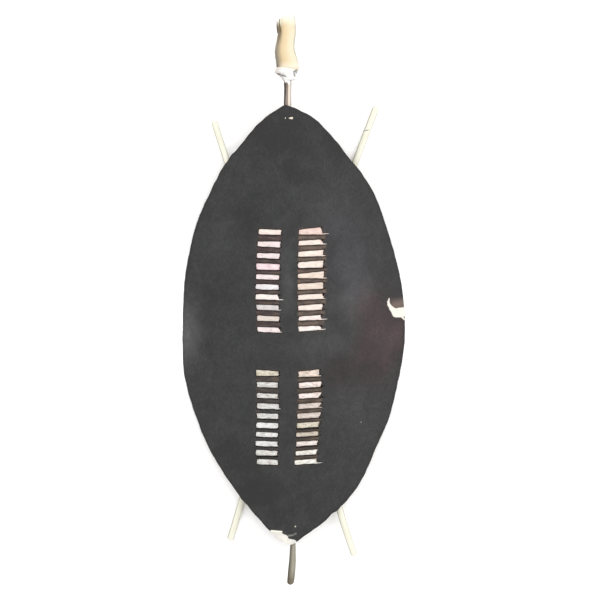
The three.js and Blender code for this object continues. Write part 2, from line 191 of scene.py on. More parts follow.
class Finish:
    """One material, made of nodes."""

    def __init__(self, name):
        self.material = bpy.data.materials.new(name)
        self.material.use_nodes = True
        self.tree = self.material.node_tree
        self.tree.nodes.clear()
        self.place = self.node("ShaderNodeTexCoord", output="Object")
        parts = [self.node("ShaderNodeSeparateXYZ", {}, {0: self.place}, axis) for axis in "XY"]
        self.across, self.up = (part / MM for part in parts)

    def node(self, kind, settings=None, values=None, output=0):
        made = self.tree.nodes.new(kind)
        for name, setting in (settings or {}).items():
            if name == "stops":
                self._set_stops(made.color_ramp, setting)
            else:
                setattr(made, name, setting)
        for name, value in (values or {}).items():
            if isinstance(value, Wire):
                self.tree.links.new(value.socket, made.inputs[name])
            else:
                made.inputs[name].default_value = value
        return Wire(self, made.outputs[output]) if len(made.outputs) else None

    @staticmethod
    def _set_stops(ramp, stops):
        while len(ramp.elements) < len(stops):
            ramp.elements.new(1.0)
        for element, (place, *tone) in zip(ramp.elements, stops):
            element.position = place
            element.color = (*linear(*tone), 1.0)

    def stretched(self, stretch, shift=(0, 0, 0)):
        """The place on the piece, scaled along each axis."""
        values = {"Vector": self.place, "Scale": stretch, "Location": shift}
        return self.node("ShaderNodeMapping", {}, values)

    def cloud(self, size_mm, stretch=(1, 1, 1), detail=3.0, roughness=0.55, warp=0.0):
        """Soft noise from 0 to 1 with lumps of the given size."""
        scale = 1 / (size_mm * MM)
        place = self.stretched([scale * s for s in stretch], (size_mm, 0.37 * size_mm, 1.3))
        values = {"Vector": place, "Scale": 1.0, "Detail": detail, "Roughness": roughness,
                  "Distortion": warp}
        return self.node("ShaderNodeTexNoise", {}, values)

    def cell_edges(self, size_mm, stretch):
        """Distance from the edges of a net of uneven cells."""
        scale = 1 / (size_mm * MM)
        values = {"Vector": self.stretched([scale * s for s in stretch]), "Scale": 1.0}
        return self.node("ShaderNodeTexVoronoi", {"feature": "DISTANCE_TO_EDGE"}, values)

    def band(self, value, low, high):
        """0 below low, 1 above high, and soft between; low may be the larger."""
        values = {0: value, 1: low, 2: high, 3: 0.0, 4: 1.0}
        return self.node("ShaderNodeMapRange", {"interpolation_type": "SMOOTHSTEP"}, values)

    def ramp(self, value, stops):
        """Colours by a number; each stop is its place, red, green and blue."""
        return self.node("ShaderNodeValToRGB", {"stops": stops}, {0: value})

    def mix(self, share, first, second, blend="MIX"):
        values = {0: share, 6: self._colour(first), 7: self._colour(second)}
        return self.node("ShaderNodeMix", {"data_type": "RGBA", "blend_type": blend}, values, 2)

    def over(self, color, share, *tone):
        """A colour with a tone laid over it by a share."""
        return self.mix(share, color, linear(*tone))

    def between(self, share, first, second):
        """From one tone to another by a share."""
        return self.mix(share, linear(*first), linear(*second))

    def stained(self, color, share, tint):
        """A colour multiplied with a tint by a share."""
        return self.mix(share, color, tint, "MULTIPLY")

    @staticmethod
    def _colour(value):
        return value if isinstance(value, Wire) else (*value, 1.0)

    def mark(self, name):
        """A number that the mesh carries at each of its points."""
        return self.node("ShaderNodeAttribute", {"attribute_name": name}, {}, "Fac")

    def bumps(self, height, depth_mm):
        values = {"Height": height, "Distance": depth_mm * MM, "Strength": 1.0}
        return self.node("ShaderNodeBump", {}, values)

    def close(self, color, roughness, normal=None, **constants):
        """Ends the finish in its shader."""
        values = {"Base Color": self._colour(color), "Roughness": roughness}
        if normal is not None:
            values["Normal"] = normal
        values.update({name.replace("_", " "): value for name, value in constants.items()})
        shader = self.node("ShaderNodeBsdfPrincipled", {}, values)
        self.node("ShaderNodeOutputMaterial", {}, {"Surface": shader})
        return self.material

    def patch(self, x, y, reach_x, reach_y, wander=0.0):
        """1 at a place on the face, fading to 0 at its reach, all in millimetres."""
        across = (self.across + wander - x) / reach_x
        up = (self.up - wander - y) / reach_y
        return self.band((across * across + up * up).root(), 1.0, 0.0)

    def joined(self, first, second, rounding):
        """The lesser of two distances, rounded off where they meet."""
        values = {0: first, 1: second, 2: rounding}
        return self.node("ShaderNodeMath", {"operation": "SMOOTH_MIN"}, values)

    def stroke(self, start, end, start_width, end_width):
        """Distance outside a tapering round-ended stroke on the face, below 0 inside it.
        Places and widths in millimetres; the result in millimetres."""
        run = [e - s for s, e in zip(start, end)]
        length = run[0] ** 2 + run[1] ** 2
        across = self.across - start[0]
        up = self.up - start[1]
        share = ((across * run[0] + up * run[1]) / length).most(0.0).least(1.0)
        gap_x = across - share * run[0]
        gap_y = up - share * run[1]
        width = share * (end_width - start_width) + start_width
        return (gap_x * gap_x + gap_y * gap_y).root() - width


# Areas of the hair: X, Y, reach across and reach up
# PAINTED_EDGE_SHEEN is a painted highlight down the left rim, where the hide curves away
PAINTED_EDGE_SHEEN = (-224, -66, 56, 112)
MAUVE_AREA = (104, 96, 100, 150)
DARK_SPOT = (-4.2, 350.8, 2.4, 2.4)
PALE_SPOT = (135, -244, 2.2, 2.2)
# Areas that are lighter, or darker where below 0: X, Y, reach across, reach up, how much
# Partly the hair's own uneven tone, partly painted light: the lighter areas to the right stand in
# for light falling from that side, and the dark area at the upper right rim is painted shade
HAIR_TONE_AND_PAINTED_LIGHT = [
    (-155, 128, 60, 70, 0.12), (-151, 16, 60, 60, -0.12), (-30, 330, 110, 80, -0.19),
    (192, -110, 50, 90, 0.12), (210, -70, 42, 56, 0.22), (84, 316, 34, 60, -0.2),
    (-84, -384, 60, 50, -0.2), (-11, 40, 25, 130, 0.24), (1, 252, 36, 30, -0.18),
    (-92, 166, 56, 52, -0.18), (75, 172, 80, 80, 0.22), (121, 76, 80, 125, 0.26),
    (118, 0, 62, 84, 0.38), (73, -90, 110, 52, 0.24), (172, -60, 74, 125, 0.28),
    (127, -210, 95, 95, 0.14), (-107, -314, 62, 52, -0.16), (0, -400, 110, 70, -0.10),
    (-7, -390, 32, 32, 0.10), (-57, -374, 42, 36, -0.12),
]
# Red-brown areas: X, Y, reach across, reach up, and how strong
WARM_AREAS = [
    (172, -40, 84, 116, 1.0), (158, -124, 84, 90, 1.0), (212, -66, 48, 84, 0.8),
    (80, -146, 60, 50, 0.7),
]
# The hair's tones from dark to light: share, red, green, blue
HAIR_TONES = [
    (0.0, 28, 28, 28), (0.2, 43, 43, 43), (0.4, 56, 56, 56), (0.7, 73, 73, 73), (1.0, 92, 92, 92),
]

# White marks in the hair: strokes of start, end, start width and end width
HORN_MARK = [
    ((191.8, 2.6), (190.2, -4), 0.7, 1.6), ((190.2, -4), (191.4, -9.5), 1.6, 2.4),
    ((191.4, -9.5), (196.6, -17), 2.4, 3.9), ((196.6, -17), (206, -26), 3.9, 8.2),
    ((206, -26), (212, -25.4), 7.8, 8.8), ((212, -25), (228, -23), 8.8, 9.4),
    ((217, -33), (223, -39), 1.8, 1.2),
]
ABOVE_HORN = ((203, -10), (224, -7), 3.4, 4.6)
TIP_MARK = [
    ((-48, -468.4), (-27, -468.4), 6.4, 6.2), ((-27, -471), (-18, -474.5), 6.6, 7.4),
    ((-14, -482), (-1, -484.6), 7.6, 7.8),
]
TIP_TOP_EDGE = ((-44, -459.8), (-23.6, -461.2), 1.8, 1.5)
TIP_STREAKS = [((-10.6, -469.4), (0, -467.4), 1.2, 0.7), ((3.4, -465.2), (5, -464.6), 0.9, 0.7)]
# How softly the strokes of a mark run together, in millimetres
STROKE_ROUNDING = 3.0


def nearest(f, strokes):
    """Distance outside a mark that is drawn with several strokes."""
    gap = f.stroke(*strokes[0])
    for stroke in strokes[1:]:
        gap = f.joined(gap, f.stroke(*stroke), STROKE_ROUNDING)
    return gap


def tongue_tint(f):
    """Rubbed brown hide between the bars: redder up the left, blacker low down, with painted shadow
    along the slits' edges.
    """
    worn = f.cloud(7, stretch=(0.25, 1, 1), detail=4.0, roughness=0.6)
    fine = f.cloud(2.2, detail=3.0)
    right_side = f.band(f.across, -14, 2)
    lower_block = f.band(f.up, -80, -130)
    lowest = f.band(f.up, -190, -330)
    left = f.between(lower_block, (68, 49, 47), (62, 55, 49))
    left = f.over(left, lowest, 38, 38, 37)
    right = f.between(lower_block, (98, 82, 73), (82, 66, 55))
    right = f.over(right, lowest, 56, 50, 38)
    tint = f.mix(right_side, left, right)
    tint = f.over(tint, f.band(worn, 0.44, 0.62) * 0.55, 28, 22, 20)
    tint = f.over(tint, f.band(worn + fine * 0.4, 0.72, 0.58) * 0.4, 116, 100, 82)
    # Painted shadow along the slits' edges, laid on by the lip mark
    shadow = f.between(right_side, (36, 28, 27), (56, 41, 35))
    return f.mix(f.mark("lip") * 0.85, tint, shadow)


def hair_tone(f, clouds, coat):
    """The hair's colour: black, with red-brown, green-black and mauve areas, painted sheen on the
    left edge, painted light towards the right and painted shade along the rim.
    """
    wander = f.cloud(70, detail=2.0) * 80 - 40
    tufts = f.cloud(8, detail=3.0)
    # The rim mark darkens the hair near the edge: painted shade along the rim
    shade = clouds * 0.68 + tufts * 0.26 + coat * 0.66 - 0.645 - f.mark("rim") * 0.24
    # Painted highlight down the left edge
    shade = shade + f.patch(*PAINTED_EDGE_SHEEN) * 0.66
    # Uneven tone, with painted light and painted shade laid in
    for *area, lift in HAIR_TONE_AND_PAINTED_LIGHT:
        shade = shade + f.patch(*area, wander) * lift
    hair = f.ramp(shade, HAIR_TONES)
    drift = wander * 0.35
    warm = sum(f.patch(*area, drift) * strength for *area, strength in WARM_AREAS)
    warm = warm * (f.cloud(18, stretch=(1, 0.4, 1), detail=3.0) + 0.6)
    hair = f.stained(hair, warm.least(1.0) * 0.95, (0.96, 0.56, 0.6))
    green = f.band(f.cloud(46, detail=2.0), 0.52, 0.7) * f.band(f.across, 90, -40)
    hair = f.stained(hair, green * 0.6, (0.93, 1.0, 0.98))
    mauve = (f.patch(*MAUVE_AREA, drift) * 1.6).least(1.0)
    return f.stained(hair, mauve, (0.95, 0.92, 1.0))


def white_marks(f, color, clouds, coat):
    """The horn-like mark at the right rim and the mark and streaks at the lower point."""
    frayed = f.cloud(3, stretch=(1, 0.5, 1), detail=4.0, roughness=0.7) * 2 - 1
    above_horn = f.band(f.stroke(*ABOVE_HORN) + frayed * 2, 13.0, -3.0)
    color = f.over(color, above_horn * 0.85, 116, 99, 90)
    horn = nearest(f, HORN_MARK) + frayed * 0.7
    color = f.over(color, f.band(horn, 3.0, 0.4) * 0.5, 112, 96, 88)
    color = f.over(color, f.band(horn, 0.8, -0.5), 238, 234, 224)
    tip = nearest(f, TIP_MARK) + frayed * 0.6
    top_edge = f.stroke(*TIP_TOP_EDGE) + frayed * 0.3
    pale = f.between(f.band(clouds + coat * 0.5, 0.62, 0.86), (240, 236, 228), (222, 216, 208))
    pale = f.over(pale, f.band(f.across, -8, 0) * 0.7, 216, 216, 211)
    pale = f.over(pale, f.band(top_edge, 0.8, -0.6), 246, 242, 226)
    for streak in TIP_STREAKS:
        gap = f.stroke(*streak) + frayed * 0.6
        color = f.over(color, f.band(gap, 2.0, -0.8) * 0.7, 140, 140, 135)
    tip = tip.least(top_edge)
    color = f.over(color, f.band(tip, 3.2, 0.6) * 0.65, 50, 48, 40)
    return f.mix(f.band(tip, 0.8, -0.5), color, pale)


def black_hair():
    """Short glossy black hair, rubbed brown between the bars, with two white marks."""
    f = Finish("black_hair")
    clouds = f.cloud(26, stretch=(1, 0.85, 1), detail=6.0, roughness=0.64, warp=0.4)
    coat = f.cloud(2.6, stretch=(1, 0.45, 1), detail=4.0, roughness=0.75)
    fine = f.cloud(0.8, stretch=(1, 0.12, 1), detail=2.0)
    plain = f.band(f.across, 2, -14) * f.band(f.up, -170, -250)
    rubbed = f.mark("tongue") * (1.0 - plain * 0.6)
    color = f.mix(rubbed, hair_tone(f, clouds, coat), tongue_tint(f))
    color = f.over(color, f.patch(*DARK_SPOT) * 0.6, 34, 34, 34)
    color = f.over(color, f.patch(*PALE_SPOT) * 0.6, 170, 168, 164)
    color = white_marks(f, color, clouds, coat)
    height = coat * 0.8 + fine * 0.5 + clouds * 0.9
    roughness = f.band(clouds, 0.2, 0.8) * 0.12 + 0.5
    return f.close(color, roughness, f.bumps(height, 0.55), Specular_IOR_Level=0.32,
                   Sheen_Weight=0.12, Sheen_Roughness=0.45)


def rawhide():
    """The scraped flesh side of the hide: pale brown, smoky, with faint veins."""
    f = Finish("rawhide_back")
    clouds = f.cloud(60, detail=5.0, roughness=0.6, warp=0.8)
    grain = f.cloud(3.2, detail=5.0, roughness=0.7)
    veins = f.band(f.cell_edges(70, (1, 0.6, 1)) + grain * 0.05, 0.05, 0.0)
    color = f.ramp(clouds * 0.8 + grain * 0.2, [
        (0.3, 112, 92, 74), (0.5, 158, 136, 110), (0.72, 190, 170, 142)])
    color = f.over(color, veins * 0.3, 104, 80, 62)
    return f.close(color, clouds * 0.2 + 0.55, f.bumps(grain + veins * 0.6, 0.35),
                   Specular_IOR_Level=0.3)


def cut_edge():
    f = Finish("cut_hide_edge")
    fibres = f.cloud(1.6, detail=3.0)
    color = f.between(fibres, (46, 38, 36), (92, 78, 68))
    return f.close(color, 0.8, f.bumps(fibres, 0.3), Specular_IOR_Level=0.2)


def strip_skin(name, grain, mottle):
    """Scraped pale hide, tinted bar by bar, with streaks along the bars, a few stains and painted
    shade along its edges.
    """
    f = Finish(name)
    patches = f.cloud(9, stretch=(0.8, 1, 1), detail=4.0, roughness=0.65)
    clots = f.cloud(5, stretch=(0.5, 1, 1), detail=3.0)
    streaks = f.cloud(2.6, stretch=(0.22, 1, 1), detail=5.0, roughness=0.65)
    wear = f.cloud(5, stretch=(1, 0.25, 1), detail=2.0)
    color = f.node("ShaderNodeAttribute", {"attribute_name": "tint"}, output="Color")
    color = f.stained(color, f.band(clots, 0.46, 0.62) * mottle, (0.68, 0.68, 0.67))
    color = f.stained(color, f.band(patches, 0.52, 0.78) * 0.45, (0.44, 0.36, 0.31))
    color = f.stained(color, f.band(streaks, 0.56, 0.36) * grain, (0.62, 0.57, 0.53))
    color = f.stained(color, f.band(wear, 0.64, 0.74) * 0.3, (0.52, 0.41, 0.39))
    # Painted shade along the strips' edges
    color = f.stained(color, f.mark("edge") * 0.3, (0.55, 0.43, 0.37))
    height = streaks * 0.8 + patches * 0.6
    return f.close(color, streaks * 0.15 + 0.6, f.bumps(height, 0.45), Specular_IOR_Level=0.22)


def peeled_wood(name, slant):
    """Dry peeled wood whose grain runs along the stick, with painted shade down its sides."""
    f = Finish(name)
    turned = f.node("ShaderNodeVectorRotate", {"rotation_type": "Z_AXIS"},
                    {"Vector": f.place, "Angle": -slant})
    long_grain = f.node("ShaderNodeMapping", {}, {"Vector": turned, "Scale": (700.0, 22.0, 700.0)})
    grain = f.node("ShaderNodeTexNoise", {}, {"Vector": long_grain, "Scale": 1.0, "Detail": 4.0})
    blotch = f.cloud(24, detail=3.0)
    color = f.ramp(grain * 0.7 + blotch * 0.3, [
        (0.3, 227, 222, 198), (0.46, 240, 238, 220), (0.62, 243, 241, 229)])
    color = f.over(color, f.band(blotch, 0.6, 0.76) * 0.3, 214, 200, 160)
    # Painted shade down both sides of the stick, where its round turns away from the light
    side_shade = f.band(f.mark("side") + grain * 0.12 - 0.06, 0.7, 1.0)
    color = f.over(color, side_shade * 0.8, 142, 140, 118)
    color = f.over(color, f.mark("nick"), 52, 46, 36)
    return f.close(color, grain * 0.2 + 0.5, f.bumps(grain + blotch, 0.22), Specular_IOR_Level=0.25)


def weathered_wood():
    """The centre stick: bark left on its left side and bare, greyed wood on the right, with painted
    shade down its left side, painted light on its right and a painted dark line at its right edge.
    """
    f = Finish("weathered_wood")
    grain = f.cloud(2.4, stretch=(1, 0.05, 1), detail=4.0, roughness=0.65)
    blotch = f.cloud(18, stretch=(1, 0.5, 1), detail=4.0)
    side = f.mark("side") * 0.5 + 0.5 + grain * 0.16 - 0.08 + blotch * 0.1 - 0.05
    # From the stick's left side to its right: bark and bare wood, with painted shade on the left,
    # painted light on the right and a painted dark line at the right edge; the foot is likewise
    # painted darker to the left
    upper = f.ramp(side, [
        (0.08, 58, 50, 43), (0.17, 78, 68, 58), (0.23, 142, 129, 122),
        (0.45, 154, 140, 132), (0.51, 112, 97, 89), (0.58, 224, 212, 195),
        (0.86, 236, 226, 211), (0.93, 172, 154, 150)])
    foot = f.ramp(side, [
        (0.1, 76, 70, 59), (0.26, 124, 119, 104), (0.6, 162, 158, 142),
        (0.95, 146, 142, 127)])
    # Partly bark and partly painted shade down the left side, where the stick comes out under the
    # collar
    side_shade = f.band(side, 0.37, 0.3) * f.band(f.up, 400, 414)
    upper = f.over(upper, side_shade * 0.85, 74, 65, 55)
    color = f.mix(f.band(f.up, -440, -480), upper, foot)
    end = f.band(f.up + blotch * 30 - 15, -530, -566)
    color = f.over(color, end * 0.75, 96, 82, 68)
    return f.close(color, grain * 0.2 + 0.55, f.bumps(grain + blotch * 0.7, 0.4),
                   Specular_IOR_Level=0.22)


# The skin's tone at the sleeve's hem, which the collar takes up
HEM_TONE = (250, 238, 217)


def sleeve_skin():
    """Soft cream skin, tan down its middle, grey-brown down its left side partly as its own colour
    and partly as painted shade, with painted light on its right and a painted dark line along its
    right edge.
    """
    f = Finish("sleeve_skin")
    hair = f.cloud(2.4, stretch=(1, 0.1, 1), detail=4.0, roughness=0.7)
    blotch = f.cloud(17, stretch=(1, 0.45, 1), detail=3.0)
    side = f.mark("side") * 0.5 + 0.5 + hair * 0.12 - 0.06 + blotch * 0.1 - 0.05
    # From the left side to the right: partly the skin's own tones, partly painted shade on the
    # left, painted light on the right and a painted dark line at the right edge
    color = f.ramp(side, [
        (0.02, 118, 111, 98), (0.09, 155, 143, 122), (0.19, 192, 172, 137),
        (0.32, 225, 201, 160), (0.54, 234, 215, 177), (0.74, 240, 227, 197),
        (0.93, 236, 226, 202), (0.97, 180, 176, 158)])
    dark_top = f.band(f.up, 500, 528) * f.band(side, 0.24, 0.1)
    color = f.over(color, dark_top * 0.65, 116, 97, 80)
    color = f.over(color, f.band(blotch, 0.55, 0.75) * 0.3, 232, 196, 156)
    streak = f.band(abs(side - 0.16), 0.07, 0.0) * f.band(f.up, 510, 536)
    color = f.over(color, streak * 0.8, 122, 112, 70)
    pale = f.band(f.up + hair * 8, 546, 570) * f.band(side, 0.2, 0.34) * f.band(side, 0.95, 0.92)
    color = f.over(color, pale, 252, 250, 232)
    top_left = f.band(f.up, 540, 556) * f.band(side, 0.34, 0.18) * f.mark("wall")
    color = f.over(color, top_left, 240, 234, 210)
    low = f.band(f.up + hair * 6, 480, 464) * f.band(side, 0.06, 0.3)
    color = f.over(color, low * 0.7, *HEM_TONE)
    # Painted shade in the creases
    color = f.over(color, f.mark("crease") * 0.85, 70, 56, 46)
    height = hair + blotch * 0.8
    return f.close(color, 0.75, f.bumps(height, 0.6), Specular_IOR_Level=0.2, Sheen_Weight=0.15)


def white_skin():
    """Dry white skin, with painted shade in its creases, down its left side and along its right
    edge.
    """
    f = Finish("white_skin")
    wrinkles = f.cloud(7, stretch=(1, 0.5, 1), detail=5.0, roughness=0.65, warp=1.2)
    stains = f.cloud(15, detail=3.0)
    color = f.ramp(wrinkles, [
        (0.26, 220, 215, 206), (0.38, 246, 245, 240), (0.6, 252, 251, 249)])
    color = f.over(color, f.band(stains, 0.62, 0.8) * 0.15, 234, 224, 200)
    # Painted shade down the collar's left side
    color = f.over(color, f.band(f.mark("side"), -0.3, -0.85) * 0.75, 218, 209, 204)
    hem = f.band(f.up + wrinkles * 9 + f.mark("side") * 3, 460, 469)
    color = f.over(color, hem * 0.9, *HEM_TONE)
    # A painted dark line along the collar's right edge
    color = f.over(color, f.band(f.mark("side"), 0.9, 1.0) * 0.4, 196, 186, 172)
    # Painted shade in the folds
    color = f.over(color, f.mark("crease"), 70, 62, 50)
    return f.close(color, 0.7, f.bumps(wrinkles, 0.7), Specular_IOR_Level=0.2)


def raw_thong():
    f = Finish("raw_thong")
    fibres = f.cloud(1.8, detail=4.0, roughness=0.7)
    stains = f.cloud(11, detail=3.0)
    color = f.between(fibres, (214, 200, 172), (244, 238, 224))
    color = f.over(color, f.band(stains, 0.55, 0.8) * 0.5, 164, 142, 108)
    return f.close(color, 0.65, f.bumps(fibres, 0.3), Specular_IOR_Level=0.3)


def floor_paint():
    f = Finish("studio_floor")
    return f.close((0.99, 0.99, 0.99), 0.95, Specular_IOR_Level=0.0)


# Building pieces

class Shape:
    """Points and faces gathered for one piece, in millimetres."""

    def __init__(self):
        self.points = []
        self.faces = []
        self.finish_of_face = []
        self.marks = {}
        self.tints = []
        self.count = 0

    def add(self, points, faces, tint=(0, 0, 0), **marks):
        points = np.asarray(points, float)
        self.tints.append(np.broadcast_to(tint, (len(points), 3)))
        for name in set(self.marks) | set(marks):
            held = self.marks.setdefault(name, [np.zeros(self.count)])
            given = marks.get(name, 0.0)
            held.append(np.broadcast_to(np.asarray(given, float), (len(points),)).copy())
        self.faces += [tuple(int(i) + self.count for i in face) for face in faces]
        self.finish_of_face += [0] * len(faces)
        self.points.append(points)
        self.count += len(points)

    def piece(self, name, finishes, nodes, smooth_angle=55):
        mesh = bpy.data.meshes.new(name)
        mesh.from_pydata((np.concatenate(self.points) * MM).tolist(), [], self.faces)
        for mark, values in self.marks.items():
            held = mesh.attributes.new(mark, "FLOAT", "POINT")
            held.data.foreach_set("value", np.concatenate(values).astype(np.float32))
        tints = np.concatenate(self.tints)
        if tints.any():
            held = mesh.attributes.new("tint", "FLOAT_COLOR", "POINT")
            opaque = np.c_[tints, np.ones(len(tints))].astype(np.float32)
            held.data.foreach_set("color", opaque.ravel())
        for finish in finishes:
            mesh.materials.append(finish)
        mesh.polygons.foreach_set("material_index", self.finish_of_face)
        work = bmesh.new()
        work.from_mesh(mesh)
        bmesh.ops.recalc_face_normals(work, faces=work.faces)
        for face in work.faces:
            face.smooth = True
        for edge in work.edges:
            edge.smooth = edge.calc_face_angle(0) < math.radians(smooth_angle)
        work.to_mesh(mesh)
        work.free()
        made = bpy.data.objects.new(name, mesh)
        bpy.context.scene.collection.objects.link(made)
        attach(made, "root")
        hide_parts(*nodes)
        return made


def loft(rings):
    """A closed body through rings of points: its points and faces."""
    rings = np.asarray(rings, float)
    count, around = rings.shape[:2]
    faces = []
    for i in range(count - 1):
        for j in range(around):
            k = (j + 1) % around
            row, next_row = i * around, (i + 1) * around
            faces.append((row + j, row + k, next_row + k, next_row + j))
    points = rings.reshape(-1, 3)
    middles = np.array([rings[0].mean(0), rings[-1].mean(0)])
    first, last = len(points), len(points) + 1
    for j in range(around):
        k = (j + 1) % around
        faces.append((first, k, j))
        faces.append((last, (count - 1) * around + j, (count - 1) * around + k))
    return np.vstack([points, middles]), faces


def ended(values, at_ends=0):
    """Values of a loft's rings, with those of the middles of its two ends."""
    return np.r_[np.ravel(values), at_ends, at_ends]


# The hide

# The rim at rows down the shield: Y, left X, right X
RIM = [
    (384, -25.8, -3), (376, -37.8, 15.8), (368, -50.6, 31.4), (352, -69.6, 52.4),
    (336, -84.2, 67.8), (304, -110.0, 95.8), (288, -124.2, 107.2), (272, -137.4, 121),
    (240, -154.8, 145.6), (208, -170.8, 164), (160, -192.2, 181.8), (96, -209.4, 201.8),
    (48, -217.8, 214), (0, -221.4, 221.2), (-48, -222.6, 224), (-96, -222.9, 222.2),
    (-144, -220.4, 214.2), (-192, -209.8, 203.6), (-240, -193.4, 190.4),
    (-288, -173.8, 168.6), (-336, -146, 148), (-368, -124.6, 131.4),
    (-384, -113, 120), (-416, -87.2, 90.4), (-432, -72.8, 71.6), (-448, -58.4, 53.4),
    (-464, -43.2, 30.6), (-476, -29.5, 13.5), (-483, -18.5, 4.5),
]
# Small kinks where the braces pass under the rim: X, Y, reach and how far out they push it
RIM_KINKS = [
    (-124, 292, 6, 1.6), (-134, 279, 5, -1.3), (-104, -396, 6, 1.4), (-93, -410, 6, -1.0),
    (88, -419, 6, 0.8), (78, -427, 5, -1.0), (132, 253, 6, 0.6), (140, 245, 5, -0.6),
]
# The hide's top and bottom points: X, Y
APEX = (-18, 388)
LOW_TIP = (-6, -487)

# The lacing columns, with the same sizes as the construction: Y of the first and the last bar,
# how their even spacing bows and skews, where the bars' middle lies and how wide they are, how
# far the column leans to the right at its foot, how far it sways and widens at half its height,
# how much higher its right side is, and how far its slits run on past the bars
COLUMNS = {
    "lacing_upper_left": dict(
        first_y=135.2, last_y=-59.3, bow=-2.2, skew=-2.6, middle=-48, width=43.6,
        lean=-2.2, sway=-3.9, belly=1.5, rise=-1.6, overrun=2),
    "lacing_upper_right": dict(
        first_y=136.4, last_y=-56.5, bow=-1.8, skew=0, middle=33.4, width=44.6,
        lean=-1.1, sway=0.9, belly=5, rise=2.6, overrun=8),
    "lacing_lower_left": dict(
        first_y=-145.7, last_y=-322.5, bow=-6.4, skew=-1.4, middle=-52, width=43.6,
        lean=0, sway=0, belly=0, rise=-1.4, overrun=2),
    "lacing_lower_right": dict(
        first_y=-146.4, last_y=-321.7, bow=-5.2, skew=-1.2, middle=29.4, width=44.6,
        lean=-6.4, sway=1.6, belly=2, rise=3, overrun=8),
}


# Tints of the strips' skin, bar by bar
TINTS = {
    "cream": (246, 232, 222), "rose": (242, 229, 228), "pink": (243, 220, 224),
    "white": (238, 239, 238), "lilac": (236, 232, 234), "ivory": (244, 243, 235),
    "grey": (215, 210, 207), "beige": (224, 212, 203), "peach": (237, 212, 203),
    "bone": (224, 223, 219), "sand": (226, 219, 201), "milk": (248, 240, 234),
    "blush": (249, 237, 231), "wheat": (237, 221, 208), "dun": (208, 198, 184),
}

# A bar in millimetres: its height, how much higher its right end is than its left, how far its
# lower right corner is cut in (its upper one where below 0), the length of the sliver drawn out
# along the slit there, how far its left and its right end reach out, and its tint
Bar = namedtuple("Bar", "height wedge cut_in sliver left_reach right_reach tint")

# Each column's bars, from the top
BAR_ROWS = {
    "lacing_upper_left": [
        (10.2, 0, 0.4, 0, 0, 0.2, "cream"), (10.8, 1.0, 0, 0, 0, 0.4, "rose"),
        (10.2, 0.6, 0.4, 0, 0, 0.4, "rose"), (12.2, 0, 0.3, 0, 0, 1.0, "pink"),
        (9.4, 0, 0, 0, 0, 0.4, "rose"), (10.4, 0, 0, 0, 0.4, 0, "lilac"),
        (10.4, 0, -3.2, 10, 0.4, 0, "milk"), (10.4, 0, 0, 5, -0.4, -0.4, "grey"),
        (10.2, -0.4, 0, 0, -0.4, -0.4, "beige"), (9.6, 0, -2.6, 4, 0.4, 0.8, "rose")],
    "lacing_upper_right": [
        (12.0, 2.2, -2.6, 13, 0.6, 0.6, "peach"), (9.6, 0.4, -3.0, 7, 0.6, 1.0, "cream"),
        (11.2, 1.2, 1.6, 4, 0.4, 1.0, "cream"), (12.8, 1.4, 1.2, 0, 0.4, 0.8, "cream"),
        (11.4, 3.2, 0.3, 6, 0.4, 1.0, "wheat"), (12.4, 0.4, 0.3, 0, 0.4, 0, "wheat"),
        (10.2, 0.2, -1.6, 4, 0, 0.6, "cream"), (10.8, 1.0, 0.8, 0, -0.2, 0, "cream"),
        (8.8, 0.8, -1.6, 12, -0.6, -1.4, "blush"), (9.2, -0.8, -2.0, 9, 0, 0, "milk")],
    "lacing_lower_left": [
        (10.6, -1.8, 0.4, 0, 0, 0.6, "sand"), (10.4, 0, 0.6, 0, -1.4, -1.2, "bone"),
        (9.4, 0, 0, 2, -1.4, -1.4, "bone"), (10.6, 0, -1.4, 3, -1.8, 1.6, "bone"),
        (10.2, 0, 0, 0, -1.4, -0.6, "bone"), (10.6, 0, 0.4, 0, 0, -0.4, "white"),
        (9.2, 0, 0.4, 0, 0.6, -1.2, "white"), (9.8, 0, 0, 0, 1.4, -1.6, "white"),
        (10.2, -1.4, 0.4, 0, 0.6, -1.8, "bone"), (10.2, 0, -0.8, 0, -1.4, -0.4, "bone")],
    "lacing_lower_right": [
        (12.2, 1.2, 0.6, 4, 0, -4.0, "wheat"), (10.8, 0.4, 1.2, 0, -1.0, 0, "blush"),
        (10.2, 0.6, 5.2, 0, -1.8, 0.6, "blush"), (10.2, 0.4, 4.4, 3, -1.4, 0, "beige"),
        (10.4, 0.4, 2.8, 0, -0.4, -0.8, "beige"), (10.4, 0, 0.4, 0, 0, -3.0, "sand"),
        (8.8, 0.4, -1.0, 0, 0.8, -3.2, "dun"), (8.8, 0, 2.4, 0, 0, -2.8, "milk"),
        (9.2, 0.8, 2.6, 0, 0, -3.4, "ivory"), (9.2, 0.6, -1.0, 11, 1.0, -2.2, "ivory")],
}

# How far past the bars' right ends the hair is rubbed, in millimetres
RUBBED_PAST = {"lacing_upper_left": 0.6, "lacing_upper_right": 6.0, "lacing_lower_left": 0.4,
               "lacing_lower_right": 0.6}
# Slits that gape under a bar: how much wider, in millimetres, by the bar's place from 0 at the top
GAPES = {
    "lacing_upper_left": {0: 0.3, 2: 0.5, 3: 0.3},
    "lacing_upper_right": {2: 0.3, 3: 1.0},
    "lacing_lower_left": {2: 0.4, 3: 0.8, 4: 1.2, 5: 1.4, 6: 0.8, 7: 0.6, 8: 2.4},
    "lacing_lower_right": {0: 0.6, 1: 1.0, 4: 0.4, 5: 2.6, 6: 0.6, 7: 2.0, 8: 0.6},
}


def edge_wave(points):
    """Small unevenness shared by the slits and the strips that pass through them."""
    return ripple(points, 15, 19) * 0.26


def bars_of(name):
    return [Bar(*row) for row in BAR_ROWS[name]]


def slit_reach(bar):
    """How far a bar's two slits lie above and below its middle."""
    return (bar.height - STRIP_THICKNESS) / 2


